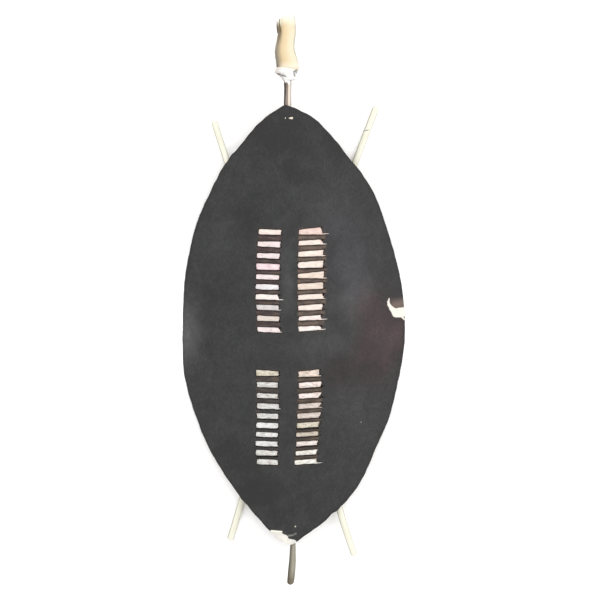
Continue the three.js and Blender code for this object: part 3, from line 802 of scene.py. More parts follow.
def bar_centres(column):
    share = np.arange(BARS) / (BARS - 1)
    even = column["first_y"] + (column["last_y"] - column["first_y"]) * share
    uneven = column["bow"] * 4 * share * (1 - share) + column["skew"] * np.sin(2 * math.pi * share)
    return even + uneven


def down_column(column, y):
    """How far down its column a height lies, 0 to 1, and the share of the column's swell there."""
    down = np.clip((y - column["first_y"]) / (column["last_y"] - column["first_y"]), 0, 1)
    return down, 4 * down * (1 - down)


def slanted(column, points):
    """Moves points drawn square with the column to their real place on the hide."""
    points = np.array(points, float)
    down, swell = down_column(column, points[:, 1])
    across = (points[:, 0] - column["middle"]) / column["width"]
    points[:, 0] += column["lean"] * (down - 0.5)
    points[:, 0] += (column["sway"] + across * column["belly"]) * swell
    points[:, 1] += column["rise"] * across
    return points


def column_place(column, points):
    """How far across the column points lie, -0.5 to 0.5, and their height drawn square."""
    down, swell = down_column(column, points[:, 1])
    shift = column["lean"] * (down - 0.5) + column["sway"] * swell
    across = (points[:, 0] - column["middle"] - shift) / (column["width"] + column["belly"] * swell)
    return across, points[:, 1] - column["rise"] * across


def slit_loops(name, grow):
    """The outlines of a column's slits, each a lens with soft ends that tapers to the right."""
    column = COLUMNS[name]
    loops = []
    half = STRIP_THICKNESS / 2 + SLIT_GAP
    side_room = 1.5
    for place, (bar_y, bar) in enumerate(zip(bar_centres(column), bars_of(name))):
        gape = GAPES[name].get(place, 0)
        low_x = column["middle"] - column["width"] / 2 - bar.left_reach - side_room
        high_x = column["middle"] + column["width"] / 2 + bar.right_reach + side_room
        for side in (1, -1):
            reach = side * slit_reach(bar)
            run_on = max(column["overrun"] - 2, bar.sliver) * (0.8 if side < 0 else 0.15)
            end_x = high_x + run_on
            x = np.r_[np.linspace(low_x + 1.5, high_x - 2, 12), high_x, (high_x + end_x) / 2 + 0.6]
            taper = 1 - 0.84 * smooth_step(high_x - 2, high_x + 2.5, x)
            outer = (half + grow + (0.35 if side > 0 else 0.8 + gape)) * taper
            inner = (half + grow) * taper
            across = (x - column["middle"]) / column["width"]
            y = bar_y + reach + side * bar.wedge * across
            y = y + edge_wave(np.c_[x, y])
            top = np.c_[x, y + (outer if side > 0 else inner)]
            bottom = np.c_[x, y - (inner if side > 0 else outer)][::-1]
            loop = np.vstack([[[low_x - grow, y[0]]], top, [[end_x + 1.4 + grow, y[-1]]], bottom])
            loops.append(slanted(column, loop))
    return loops


def rim_loop(spacing):
    """The hide's outline as an even loop, clockwise from its top point."""
    right = [(right_x, y) for y, _, right_x in RIM]
    left = [(left_x, y) for y, left_x, _ in reversed(RIM)]
    corners = np.array([APEX] + right + [LOW_TIP] + left + [APEX], float)
    steps = np.r_[0, np.cumsum(np.linalg.norm(np.diff(corners, axis=0), axis=1))]
    padded = np.vstack([corners[-3:-1], corners, corners[1:3]])
    lengths = np.r_[steps[-3:-1] - steps[-1], steps, steps[1:3] + steps[-1]]
    places = np.linspace(0, steps[-1], int(steps[-1] / spacing), endpoint=False)
    loop = smooth_curve(np.c_[lengths, padded], places)
    before, after = np.roll(loop, 1, 0), np.roll(loop, -1, 0)
    along = after - before
    outward = np.c_[-along[:, 1], along[:, 0]] / np.linalg.norm(along, axis=1, keepdims=True)
    push = ripple(loop, 26, 5) * 0.35
    for x, y, reach, amount in RIM_KINKS:
        push += amount * np.exp(-((loop - (x, y)) ** 2).sum(1) / reach ** 2)
    return loop + outward * push[:, None], outward


def turns_clockwise(loop):
    after = np.roll(loop, -1, 0)
    return (loop[:, 0] * after[:, 1] - after[:, 0] * loop[:, 1]).sum() < 0


def hex_grid(low, high, spacing):
    xs = np.arange(low[0], high[0], spacing)
    ys = np.arange(low[1], high[1], spacing * 0.866)
    grid_x, grid_y = np.meshgrid(xs, ys)
    grid_x = grid_x + (np.arange(len(ys)) % 2)[:, None] * spacing / 2
    return np.c_[grid_x.ravel(), grid_y.ravel()]


def distance_to(loop, points):
    """How far points lie from a closed loop, and whether they are inside it."""
    start, end = loop, np.roll(loop, -1, 0)
    run = end - start
    length = (run ** 2).sum(1)
    least = np.full(len(points), 1e9)
    inside = np.zeros(len(points), bool)
    for a, b, d, n in zip(start, end, run, length):
        share = np.clip(((points - a) @ d) / n, 0, 1)
        gap = points - a - share[:, None] * d
        least = np.minimum(least, (gap ** 2).sum(1))
        crosses = (a[1] > points[:, 1]) != (b[1] > points[:, 1])
        if crosses.any() and b[1] != a[1]:
            at_x = a[0] + (points[:, 1] - a[1]) * d[0] / d[1]
            inside ^= crosses & (points[:, 0] < at_x)
    return np.sqrt(least), inside


def weave_at(points):
    """The lacing's pull on the hide: 1 on a tongue between bars, -1 under a bar, 0 away. Also
    how far the hair is rubbed brown, 0 to 1, a little past the bars' right ends too."""
    pull = np.zeros(len(points))
    rubbed = np.zeros(len(points))
    for name, column in COLUMNS.items():
        across, square_y = column_place(column, points)
        near = smooth_step(0.57, 0.5, np.abs(across))
        centres = bar_centres(column)
        ends = [bar.right_reach for bar in bars_of(name)]
        run_on = (np.interp(-square_y, -centres, ends) + RUBBED_PAST[name]) / column["width"]
        faded = 0.49 + np.minimum(run_on, run_on * 0.5)
        worn = smooth_step(-0.55, -0.5, across) * smooth_step(0.53 + run_on, faded, across)
        reach = np.array([slit_reach(bar) for bar in bars_of(name)])
        outside = (np.abs(square_y[:, None] - centres[None, :]) - reach).min(1)
        between = (square_y < centres[0]) & (square_y > centres[-1])
        tongue = between * smooth_step(0.2, 1.2, outside)
        under = smooth_step(0, -2.2, outside)
        pull += near * (tongue - under)
        top, foot = centres[0] + reach[0], centres[-1] - reach[-1]
        within = smooth_step(top + 4, top + 1.5, square_y)
        within = within * smooth_step(foot - 4, foot - 1.5, square_y)
        rubbed += worn * within * np.where(outside > 0, 1, 0.3)
    return pull, rubbed


def hide_sheet(finishes):
    """The hide's outline filled with an even net of points, finer round the slits."""
    rim, outward = rim_loop(3.6)
    rings = [rim, rim - outward * 0.9, rim - outward * 2.6]
    loops = [loop for name in COLUMNS for loop in slit_loops(name, 0.0)]
    lips = [loop for name in COLUMNS for loop in slit_loops(name, 1.0)]
    holes = [tie_hole(x, y, wide, high) for x, y, wide, high in TIE_HOLES]
    coarse = hex_grid(hide_low[:2], hide_high[:2], 5.0)
    fine = []
    for name in COLUMNS:
        reached = np.concatenate(slit_loops(name, 3))
        fine.append(hex_grid(reached.min(0) - 4, reached.max(0) + 4, 2.5))
    covered = np.zeros(len(coarse), bool)
    for patch in fine:
        covered |= ((coarse > patch.min(0)) & (coarse < patch.max(0))).all(1)
    free = np.vstack([coarse[~covered]] + fine)
    gap, inside = distance_to(rings[2], free)
    free = free[inside & (gap > 1.8)]
    keep = np.ones(len(free), bool)
    for loop in lips + holes:
        low, high = loop.min(0) - 2, loop.max(0) + 2
        close = np.flatnonzero(((free > low) & (free < high)).all(1) & keep)
        if len(close):
            gap, inside = distance_to(loop, free[close])
            keep[close[inside | (gap < 0.7)]] = False
    free = free[keep]
    points, edges, faces = [], [], []
    count = 0
    for loop in rings + loops + holes + lips:
        if turns_clockwise(loop):
            loop = loop[::-1]
        ring = list(range(count, count + len(loop)))
        edges += list(zip(ring, ring[1:] + ring[:1]))
        points.append(loop)
        count += len(loop)
        faces.append(ring)
    cuts = set(range(len(rings), len(rings) + len(loops) + len(holes)))
    faces = faces[:len(rings) + len(cuts)]
    points.append(free)
    flat = np.vstack(points)
    made = delaunay_2d_cdt([tuple(p) for p in flat], edges, faces, 1, 1e-5)
    flat = np.array([tuple(p) for p in made[0]])
    kept = [tri for tri, source in zip(made[2], made[5])
            if source and not cuts.intersection(source)]
    return build_hide(flat, kept, rim, loops, finishes)


def build_hide(flat, kept, rim, loops, finishes):
    """The hide as a closed sheet over its flat net: arched, and pulled by the lacing."""
    used = np.unique(np.array(kept))
    renumber = {int(old): new for new, old in enumerate(used)}
    flat = flat[used]
    kept = [tuple(renumber[i] for i in tri) for tri in kept]
    edge_gap, _ = distance_to(rim, flat)
    pull, rubbed = weave_at(flat)
    slit_gap = np.full(len(flat), 9.0)
    for loop in loops:
        close = np.flatnonzero(((flat > loop.min(0) - 3) & (flat < loop.max(0) + 3)).all(1))
        if len(close):
            gap, _ = distance_to(loop, flat[close])
            slit_gap[close] = np.minimum(slit_gap[close], gap)
    base = np.maximum(back_height(flat[:, 0]), -RIM_FLAT)
    sway = ripple(flat, 120, 21) * 0.5 + ripple(flat, 34, 22) * 0.16
    sway = sway * smooth_step(0, 40, edge_gap) + pull * 0.55
    sway = sway * smooth_step(12, 34, np.abs(flat[:, 0] + 5)) + pull * 0.2
    face = base + HIDE_THICKNESS + sway + 0.25 * smooth_step(2.5, 0.6, slit_gap)
    face -= 1.15 * (1 - np.clip(edge_gap / 1.8, 0, 1)) ** 2
    face -= 0.7 * (1 - np.clip(slit_gap / 0.8, 0, 1)) ** 2
    back = base + np.minimum(sway, 0.4) + 0.5 * (1 - np.clip(edge_gap / 1.4, 0, 1)) ** 2
    back = np.maximum(back, 0)
    count = len(flat)
    sides = {}
    for a, b, c in kept:
        for edge in ((a, b), (b, c), (c, a)):
            key = (min(edge), max(edge))
            sides[key] = None if key in sides else edge
    walls = [edge for edge in sides.values() if edge]
    shape = Shape()
    points = np.vstack([np.c_[flat, face], np.c_[flat, back]])
    faces = kept + [(c + count, b + count, a + count) for a, b, c in kept]
    faces += [(a, b, b + count, a + count) for a, b in walls]
    tongue = np.r_[rubbed, np.zeros(count)]
    # Painted shade along the rim, which the hair finish darkens near the edge
    near_rim = np.r_[smooth_step(4.5, 0.5, edge_gap), np.zeros(count)]
    # Painted shadow along the slits' edges, which the hair finish darkens
    lip = np.r_[smooth_step(2.5, 0.4, slit_gap), np.zeros(count)]
    shape.add(points, faces, tongue=tongue, rim=near_rim, lip=lip)
    shape.finish_of_face = [0] * len(kept) + [1] * len(kept) + [2] * len(walls)
    return shape.piece("hide_skin", finishes, ["hide"], smooth_angle=70)


TOP_LEFT_HOLE = -15.9
TOP_RIGHT_HOLE = -6.4
LOW_HOLE = 3.6
# Small holes that the ties come through: X, Y, width, height
TIE_HOLES = [(TOP_LEFT_HOLE, TOP_TIE, 3.4, 3.4), (TOP_RIGHT_HOLE, TOP_TIE, 3.2, 4.6),
             (LOW_HOLE, LOW_TIE, 2.8, 3.6)]


def tie_hole(x, y, wide, high):
    turn = circle(12)
    return np.c_[x + wide / 2 * np.cos(turn), y + high / 2 * np.sin(turn)]


# The lacing strips

BEND_RADIUS = 1.3


def arc(middle, start, end, steps=4):
    turn = np.radians(np.linspace(start, end, steps))
    return np.c_[middle[0] + BEND_RADIUS * np.cos(turn), middle[1] + BEND_RADIUS * np.sin(turn)]


def strip_path(name):
    """The woven strip seen from its edge: [y, height over the hide's back], the bar that each
    place belongs to, and how far across the front of its bar it lies, 1 high to -1 low."""
    column = COLUMNS[name]
    r = BEND_RADIUS
    back_z = -SLIT_GAP - STRIP_THICKNESS / 2
    face_z = HIDE_THICKNESS + SLIT_GAP + STRIP_THICKNESS / 2
    reaches = [slit_reach(bar) for bar in bars_of(name)]
    centres = bar_centres(column)
    path, bars, fronts = [], [], []

    def extend(points, bar, front):
        path.extend(points)
        bars.extend([bar] * len(points))
        fronts.extend(front if np.ndim(front) else [front] * len(points))

    top = centres[0] + reaches[0]
    extend([(top + TAIL_LENGTH, back_z), (top + TAIL_LENGTH / 2, back_z)], 0, 1)
    for bar, (middle, reach) in enumerate(zip(centres, reaches)):
        high, low = middle + reach, middle - reach
        extend(arc((high + r, back_z + r), 270, 180), bar, 1)
        extend([(high, (back_z + face_z) / 2)], bar, 1)
        extend(arc((high - r, face_z - r), 0, 90), bar, 1)
        share = np.linspace(0, 1, 8)[1:-1]
        crown = 0.75 * np.sin(math.pi * share)
        front_y = high - r + (low - high + 2 * r) * share
        extend(np.c_[front_y, face_z + crown], bar, 1 - 2 * share)
        extend(arc((low + r, face_z - r), 90, 180), bar, -1)
        extend([(low, (back_z + face_z) / 2)], bar, -1)
        extend(arc((low - r, back_z + r), 360, 270), bar, -1)
    last = centres[-1] - reaches[-1]
    extend([(last - TAIL_LENGTH / 2, back_z), (last - TAIL_LENGTH, back_z)], BARS - 1, -1)
    return np.array(path), np.array(bars), np.array(fronts)


def sliver(column, corner_y, reach, length, droop):
    """The thin pale corner of a strip drawn out along the end of its slit."""
    start_x = column["middle"] + column["width"] / 2 + reach - 4
    turn = circle(8)
    rings = []
    for share in np.linspace(0, 1, 9):
        size = (1 - share) ** 0.7
        x = start_x + (length + 4) * share
        y = corner_y + 0.9 - droop * share * share
        z = HIDE_THICKNESS + 0.25 + 0.8 * size
        rings.append(np.c_[np.full(8, x), y + (0.3 + 0.8 * size) * np.cos(turn),
                           z + (0.25 + 0.5 * size) * np.sin(turn)])
    points, faces = loft(rings)
    moved = slanted(column, points[:, :2])
    return np.c_[moved, points[:, 2] + back_height(moved[:, 0])], faces


# Places across a strip, from its left edge to its right
STRIP_SHARES = np.linspace(-0.5, 0.5, 19)


def strip_rings(column, at_bar, path, fronts, seed):
    """Rings across a strip, all down its path, with edges that are not quite straight."""
    along = np.gradient(path, axis=0)
    along /= np.linalg.norm(along, axis=1, keepdims=True)
    normal = np.c_[along[:, 1], -along[:, 0]]
    cut_low = at_bar.cut_in * (0.5 - fronts / 2)
    cut_high = -at_bar.cut_in * (0.5 + fronts / 2) ** 2
    pinch = np.where(at_bar.cut_in > 0, cut_low, cut_high)
    low_x = column["middle"] - column["width"] / 2 - at_bar.left_reach
    low_x = low_x + ripple_along(path[:, 0], 7, seed) * 0.5
    high_x = column["middle"] + column["width"] / 2 + at_bar.right_reach - pinch
    high_x = high_x + ripple_along(path[:, 0], 6, seed + 1) * 0.6
    front = smooth_step(1.0, HIDE_THICKNESS, path[:, 1])
    thin = 1 - 0.45 * np.abs(2 * STRIP_SHARES) ** 10
    rings = []
    for i, (y, z) in enumerate(path):
        x = low_x[i] + (high_x[i] - low_x[i]) * (STRIP_SHARES + 0.5)
        places = np.c_[x, np.full_like(x, y)]
        lift = front[i] * ripple(places, 12, seed + 2) * 0.28
        tilt = at_bar.wedge[i] * fronts[i] * STRIP_SHARES + edge_wave(places)
        sides = []
        for side in (1, -1):
            offset = side * STRIP_THICKNESS / 2 * thin
            sides.append(np.c_[x, y + tilt + normal[i, 0] * offset,
                               z + lift + normal[i, 1] * offset])
        rings.append(np.vstack([sides[0], sides[1][::-1]]))
    return rings


def strip_tint(tint, points, seed):
    """A strip's tint at its points: patchy on its bars, and painted dark with shade where it runs
    behind the hide.
    """
    brightest = 0.86
    patchy = ripple(points[:, :2] * (0.5, 1.3), 9, seed)
    warmth = ripple(points[:, :2] * (0.6, 1.2), 12, seed + 1)
    warmth = np.maximum(warmth, 0)[:, None] * (0.2, -0.5, -0.6)
    tint = tint * (1 + 0.05 * patchy[:, None] + 0.05 * warmth)
    # Painted shade where the strip runs behind the hide, so the slits' gapes read dark
    shade_behind = smooth_step(0.1, -0.5, points[:, 2]) * smooth_step(-1.9, -1.2, points[:, 2])
    return np.minimum(tint * (1 - 0.96 * np.minimum(shade_behind * 1.2, 1)[:, None]), brightest)


def lacing_strip(name, finish, seed):
    """One strip, woven through its column, with the slivers drawn out from its corners."""
    column = COLUMNS[name]
    bars = bars_of(name)
    chance = np.random.default_rng(seed)
    path, bar_places, fronts = strip_path(name)
    at_bar = Bar(*(np.array(sizes)[bar_places] for sizes in zip(*bars)))
    points, faces = loft(strip_rings(column, at_bar, path, fronts, seed))
    moved = slanted(column, points[:, :2])
    colors = np.array([linear(*TINTS[bar.tint]) for bar in bars])[bar_places]
    tint = np.vstack([np.repeat(colors, 2 * len(STRIP_SHARES), axis=0), colors[:1], colors[-1:]])
    from_middle = ended(np.tile(np.r_[STRIP_SHARES, STRIP_SHARES[::-1]], len(path)))
    # Where the strip's edges are, for the painted shade along them
    edge = smooth_step(0.42, 0.5, np.abs(from_middle))
    shape = Shape()
    shape.add(np.c_[moved, points[:, 2] + back_height(moved[:, 0])], faces,
              tint=strip_tint(tint, points, seed + 3), edge=edge)
    for bar_y, bar in zip(bar_centres(column), bars):
        if bar.sliver:
            corner_y = bar_y - bar.height / 2 - bar.wedge / 2
            droop = chance.uniform(-0.4, 0.6)
            drawn = sliver(column, corner_y, bar.right_reach, bar.sliver, droop)
            # The slivers take a little of the painted edge shade
            shape.add(*drawn, tint=linear(*TINTS[bar.tint]), edge=0.3)
    return shape.piece(name + "_strip", [finish], [name])


# The sticks

CENTRE_X = [(-568, -6.2), (-540, -3.4), (-487, -1.6), (-319, -5.6), (-105, -9.6), (388, -11.4),
            (466, -11.6), (568, -15)]
CENTRE_RADIUS = [(-568, 7.0), (-544, 7.4), (-511, 6.3), (-487, 5.2), (-319, 5.85), (-105, 6.5),
                 (388, 7.3), (568, 7.0)]


def centre_line(y):
    """Where the centre stick's middle lies at heights up the shield: X, Z and its radius."""
    radius = smooth_curve(CENTRE_RADIUS, y)
    return smooth_curve(CENTRE_X, y), RIDGE - THONG_ROOM - radius, radius


def stick_rings(y, x, z, radius, around, seed, knots=()):
    """Rings down a stick: softened ends, shallow whittled flats and a few knots."""
    turn = circle(around)
    ring_y = np.repeat(y[:, None], around, 1)
    way = np.repeat(turn[None, :], len(y), 0)
    field = np.c_[(ring_y / 14).ravel(), (3 * np.cos(way)).ravel(), (3 * np.sin(way)).ravel()]
    worn = (ripple(field, 3.2, seed) * 0.018).reshape(way.shape)
    size = radius[:, None] * (1 + worn)
    for knot_y, knot_way, height in knots:
        turned = np.angle(np.exp(1j * (way - knot_way)))
        near = np.exp(-((ring_y - knot_y) / 5) ** 2 - (turned / 0.5) ** 2)
        size = size + near * height
    reach = np.minimum(y - y[0], y[-1] - y)[:, None] / (radius[:, None] * 0.9)
    ends = np.sqrt(np.clip(1 - (1 - np.clip(reach, 0, 1)) ** 2, 0.06, 1))
    size = size * ends
    across, out = x[:, None] + size * np.sin(way), z[:, None] + size * np.cos(way)
    return np.stack([across, ring_y, out], 2), way


def end_spaced(low, high, radius, step):
    """Places along a stick, closer together at its rounded ends."""
    close = np.array([0, 0.03, 0.1, 0.22, 0.4, 0.65, 1.0]) * radius
    middle = np.linspace(low + radius * 1.6, high - radius * 1.6, int((high - low) / step))
    return np.r_[low + close, middle, (high - close)[::-1]]


def centre_stick(finish):
    y = end_spaced(STICK_FOOT, STICK_HEAD, 7, 7)
    x, z, radius = centre_line(y)
    wander = ripple_along(y, 180, 31) * 0.4
    knots = [(-520, 1.2, 0.7), (430, 4.6, 0.5), (-40, 2.6, 0.6), (150, 0.8, 0.5), (-250, 3.6, 0.6)]
    rings, way = stick_rings(y, x + wander, z, radius, 28, 32, knots)
    points, faces = loft(rings)
    shape = Shape()
    # The side mark runs from the stick's left side to its right, for the finish's painted shade and
    # light
    shape.add(points, faces, side=ended(np.sin(way)))
    return shape.piece("centre_stick_wood", [finish], ["centre_stick"])


# The crossed sticks: top and foot as X, Y, bow to the left, first seed, knots as place from the
# foot, way round and height, and the place of the one nick
BRACES = {
    "brace_stick_left": dict(
        top=(-159.2, 359.2), foot=(122, -512), bow=0.0, seed=71,
        knots=[(880, 0.4, 0.5), (130, 1.0, 0.4), (430, 3.0, 0.5)], nick=None),
    "brace_stick_right": dict(
        top=(166, 388), foot=(-128, -483), bow=8.9, seed=81,
        knots=[(862, 5.2, 0.8), (60, 0.8, 0.4), (560, 2.0, 0.5)], nick=868.6),
}


def brace_slant(name):
    """How far a crossed stick turns to the left of upright."""
    top, foot = BRACES[name]["top"], BRACES[name]["foot"]
    return math.atan2(foot[0] - top[0], top[1] - foot[1])


def brace_height(name, share):
    """Height of a brace's middle line, from its foot at 0 to its top at 1, off the frame."""
    low, high = (np.array(corner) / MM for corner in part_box(name))
    middle = high[2] - BRACE_RADIUS
    if name == "brace_stick_left":
        return middle + (low[2] - high[2] + 2 * BRACE_RADIUS) * share
    foot_y, top_y = BRACES[name]["foot"][1], BRACES[name]["top"][1]
    cross = (CROSSING - foot_y) / (top_y - foot_y)
    away = np.where(share > cross, (share - cross) / (1 - cross), (cross - share) / cross)
    return middle + (BRACE_RADIUS - 0.4 - middle) * np.clip(away, 0, 1) ** 2


def brace_stick(name, finish):
    """One crossed stick, drawn upright from its foot and then turned to its slant."""
    brace = BRACES[name]
    seed, nick = brace["seed"], brace["nick"]
    top, foot = np.array(brace["top"]), np.array(brace["foot"])
    length = np.linalg.norm(top - foot)
    slant = brace_slant(name)
    y = end_spaced(0, length, BRACE_RADIUS, 7)
    if nick:
        y = np.unique(np.r_[y, nick + np.linspace(-5, 5, 21)])
    share = y / length
    x = -brace["bow"] * 4 * share * (1 - share) + ripple_along(y, 150, seed) * 0.5
    radius = BRACE_RADIUS * (1 + 0.03 * ripple_along(y, 120, seed + 1))
    rings, way = stick_rings(y, x, brace_height(name, share), radius, 36, seed + 2, brace["knots"])
    points, faces = loft(rings)
    mark = np.zeros(len(points))
    if nick:
        way_round = ended(way, math.pi)
        nick_y = nick + 4.2 * np.sin(way_round)
        in_front = smooth_step(-0.3, 0.2, np.cos(way_round))
        at_left = smooth_step(0.5, 0.2, np.sin(way_round))
        mark = np.exp(-((points[:, 1] - nick_y) / 0.8) ** 2) * in_front * at_left
        points[:, 2] -= mark * 0.8
    points[:, 2] = np.maximum(points[:, 2], 0.05)
    cos, sin = math.cos(slant), math.sin(slant)
    turned = np.c_[points[:, 0] * cos - points[:, 1] * sin + foot[0],
                   points[:, 0] * sin + points[:, 1] * cos + foot[1], points[:, 2]]
    shape = Shape()
    # The side mark is 1 at the stick's sides, where the finish paints shade
    shape.add(turned, faces, side=ended(np.abs(np.sin(way)) - 0.06 * np.sin(way)), nick=mark)
    return shape.piece(name + "_wood", [finish], [name])


# The sleeve and its collar

# The sleeve: share of its length from its hem, radius and shift to one side, both in mm
SLEEVE = [(0, 22.6, 0.7), (0.1, 22.0, -0.6), (0.22, 21.0, -3.4), (0.36, 19.2, -4.4),
          (0.5, 18.2, -2.2), (0.64, 18.2, 0.3), (0.8, 18.2, 0.5), (0.93, 18.0, -0.2),
          (1.0, 17.6, -0.4)]
SLEEVE_FOOT = 466.0
SLEEVE_LENGTH = 102.0
SLEEVE_SEAM = 1.75
SLEEVE_SIDES = 128
# How far up the sleeve its inner wall starts again at the top: share, inset and drop in mm
SLEEVE_MOUTH = [(1.0, 1.4, 0.3), (1.0, 2.5, 1.2), (0.97, 3.0, 0.0), (0.9, 3.2, 0.0),
                (0.85, 3.4, 0.0)]


def rolled_radius(turn, share):
    """Radius of the rolled skin and its shift to one side: it steps out at its overlapping
    edge, with long soft folds."""
    shape = smooth_curve(SLEEVE, np.full(len(turn), share))
    around = np.mod(turn - SLEEVE_SEAM, 2 * math.pi) / (2 * math.pi)
    roll = 1.6 * (around - 0.5) - 1.5 * smooth_step(0.94, 1.0, around)
    field = np.c_[3.2 * np.cos(turn), 3.2 * np.sin(turn), np.full(len(turn), share * 3.0)]
    folds = ripple(field, 4.2, 41) * 0.9 + ripple(field * (2.2, 2.2, 0.8), 3.0, 42) * 0.4
    return shape[:, 0] + roll + folds, shape[:, 1]


def sleeve_ring(turn, share, inset, drop):
    """One ring of the sleeve, with its ragged top and uneven hem, and its crease marks, where the
    finish paints shade in the notch and the hook.
    """
    lean = np.sin(turn)
    radius, aside = rolled_radius(turn, share)
    soften = 1 - 0.05 * (1 - min(share / 0.012, 1)) - 0.03 * smooth_step(0.985, 1.0, share)
    notch = math.exp(-((share - 0.22) / 0.02) ** 2) * np.exp(-((turn - 4.9) / 0.28) ** 2)
    hook = math.exp(-((share - 0.012) / 0.03) ** 2) * np.exp(-((turn - 5.04) / 0.16) ** 2)
    radius = radius * soften - inset - 1.4 * notch - 1.2 * hook
    ragged = 1.3 * np.sin(6 * turn) + 0.8 * np.sin(11 * turn + 1)
    slope = -13 * smooth_step(-0.35, -0.75, lean) - 1.2
    hem = 2.6 + 0.5 * np.sin(5 * turn + 0.5) + 0.3 * np.sin(13 * turn)
    hem = hem + 1.0 * smooth_step(-0.9, -0.4, lean) + 2.6 * smooth_step(0, 0.9, lean)
    y = SLEEVE_FOOT + share * SLEEVE_LENGTH - drop
    y = y + smooth_step(0.6, 1.0, share) * (slope + ragged) - smooth_step(0.16, 0.0, share) * hem
    x, z, _ = centre_line(y)
    ring = np.c_[x + aside + radius * lean, y, z + radius * np.cos(turn)]
    return ring, np.clip(notch * 0.2 + hook * 0.8, 0, 1)


def tuft(finish):
    """The rolled sleeve: its outer wall, its open top and two points of skin beside it."""
    turn = circle(SLEEVE_SIDES)
    shares = np.r_[0.0, 0.004, 0.012, np.linspace(0.03, 0.97, 50), 0.985, 0.994, 1.0]
    walls = [(share, 0.0, 0.0) for share in shares] + SLEEVE_MOUTH
    rings, creases = zip(*(sleeve_ring(turn, *wall) for wall in walls))
    inner_tone = 0.1
    sides = [np.full(len(turn), inner_tone) if inset else np.sin(turn) for _, inset, _ in walls]
    points, faces = loft(rings)
    shape = Shape()
    # The side mark runs from the sleeve's left side to its right, for the finish's painted shade
    # and light
    shape.add(points, faces, side=ended(sides, inner_tone), crease=ended(creases), wall=1.0)
    shape.add(*sleeve_tip(-0.4, 558.4, 1.6, -1.4), side=-0.86, crease=0.3)
    shape.add(*sleeve_tip(0.6, 560.6, 2.6, -0.84), side=-0.7, crease=0.3)
    return shape.piece("tuft_sleeve", [finish], ["tuft"])


TIP_FOOT = 532


def sleeve_tip(lean, reach, size, way):
    """A pointed end of skin that stands off the top left of the sleeve, turned to the front."""
    rings = []
    turn = circle(10)
    facing = way * 0.5
    side = np.array([math.cos(facing), 0, -math.sin(facing)])
    outward = np.array([math.sin(facing), 0, math.cos(facing)])
    for share in np.linspace(0, 1, 9):
        y = TIP_FOOT + (reach - TIP_FOOT) * share
        x, z, _ = centre_line(np.array(y))
        out = 18.0 + 0.6 * math.sin(math.pi * share)
        middle = np.array([x + out * math.sin(way) + lean * share, y, z + out * math.cos(way)])
        thick = 1.2 * (1 - share) + 0.3
        wide = size * (1 - share) ** 0.5 * smooth_step(-0.2, 0.6, share) + 0.3
        rings.append(middle + np.cos(turn)[:, None] * side * wide
                     + np.sin(turn)[:, None] * outward * thick)
    return loft(rings)


# The collar: Y and radius on its left side and its right side, from its lip to the hem
COLLAR = [
    (428, 8.0, 8.0), (431, 8.2, 8.6), (434, 8.6, 9.4), (436, 9.2, 10.4), (437.8, 10.2, 15.4),
    (440, 11.2, 16.4), (443, 12.8, 16.4), (446, 15.2, 16.2), (449, 20.0, 16.8), (452, 24.0, 18.6),
    (456, 25.2, 20.6), (459, 24.0, 20.6), (462, 21.8, 20.2), (465, 20.4, 19.6),
    (468.4, 19.6, 18.6),
]
COLLAR_FOOT = COLLAR[0][0]
COLLAR_HEM = COLLAR[-1][0]
# Folds in the collar's front, dented in and darkened with painted shade: strokes of X, Y to X, Y
# with a width
COLLAR_FOLDS = [
    (-38, 452.4, -28, 449.6, 0.7), (-38, 448.4, -28, 449.4, 0.6), (-32.4, 449.8, -27, 449.4, 1.2),
    (-23.6, 447.4, -17, 445.3, 1.3), (-17, 445.3, -13.6, 443.6, 0.5),
    (-26.6, 448.6, -24.6, 442, 0.7), (-24.2, 441.2, -17.2, 431.4, 1.3),
    (1.4, 454.5, 2.6, 445.8, 1.4), (1.6, 454.2, 9.4, 459.2, 1.3), (5.8, 454, 6.8, 453.4, 1.8),
    (-5.4, 437, -3.4, 436.2, 1.2), (-3, 436.6, 4, 438.4, 0.7),
]


def fold_depth(across, level):
    """How deep the drawn folds are at places on the collar's front, 0 to 1."""
    deep = np.zeros(len(across))
    for x0, y0, x1, y1, width in COLLAR_FOLDS:
        run_x, run_y = x1 - x0, y1 - y0
        share = ((across - x0) * run_x + (level - y0) * run_y) / (run_x ** 2 + run_y ** 2)
        share = np.clip(share, 0, 1)
        gap = np.hypot(across - x0 - share * run_x, level - y0 - share * run_y)
        deep = np.maximum(deep, np.exp(-(gap / width) ** 2))
    return deep


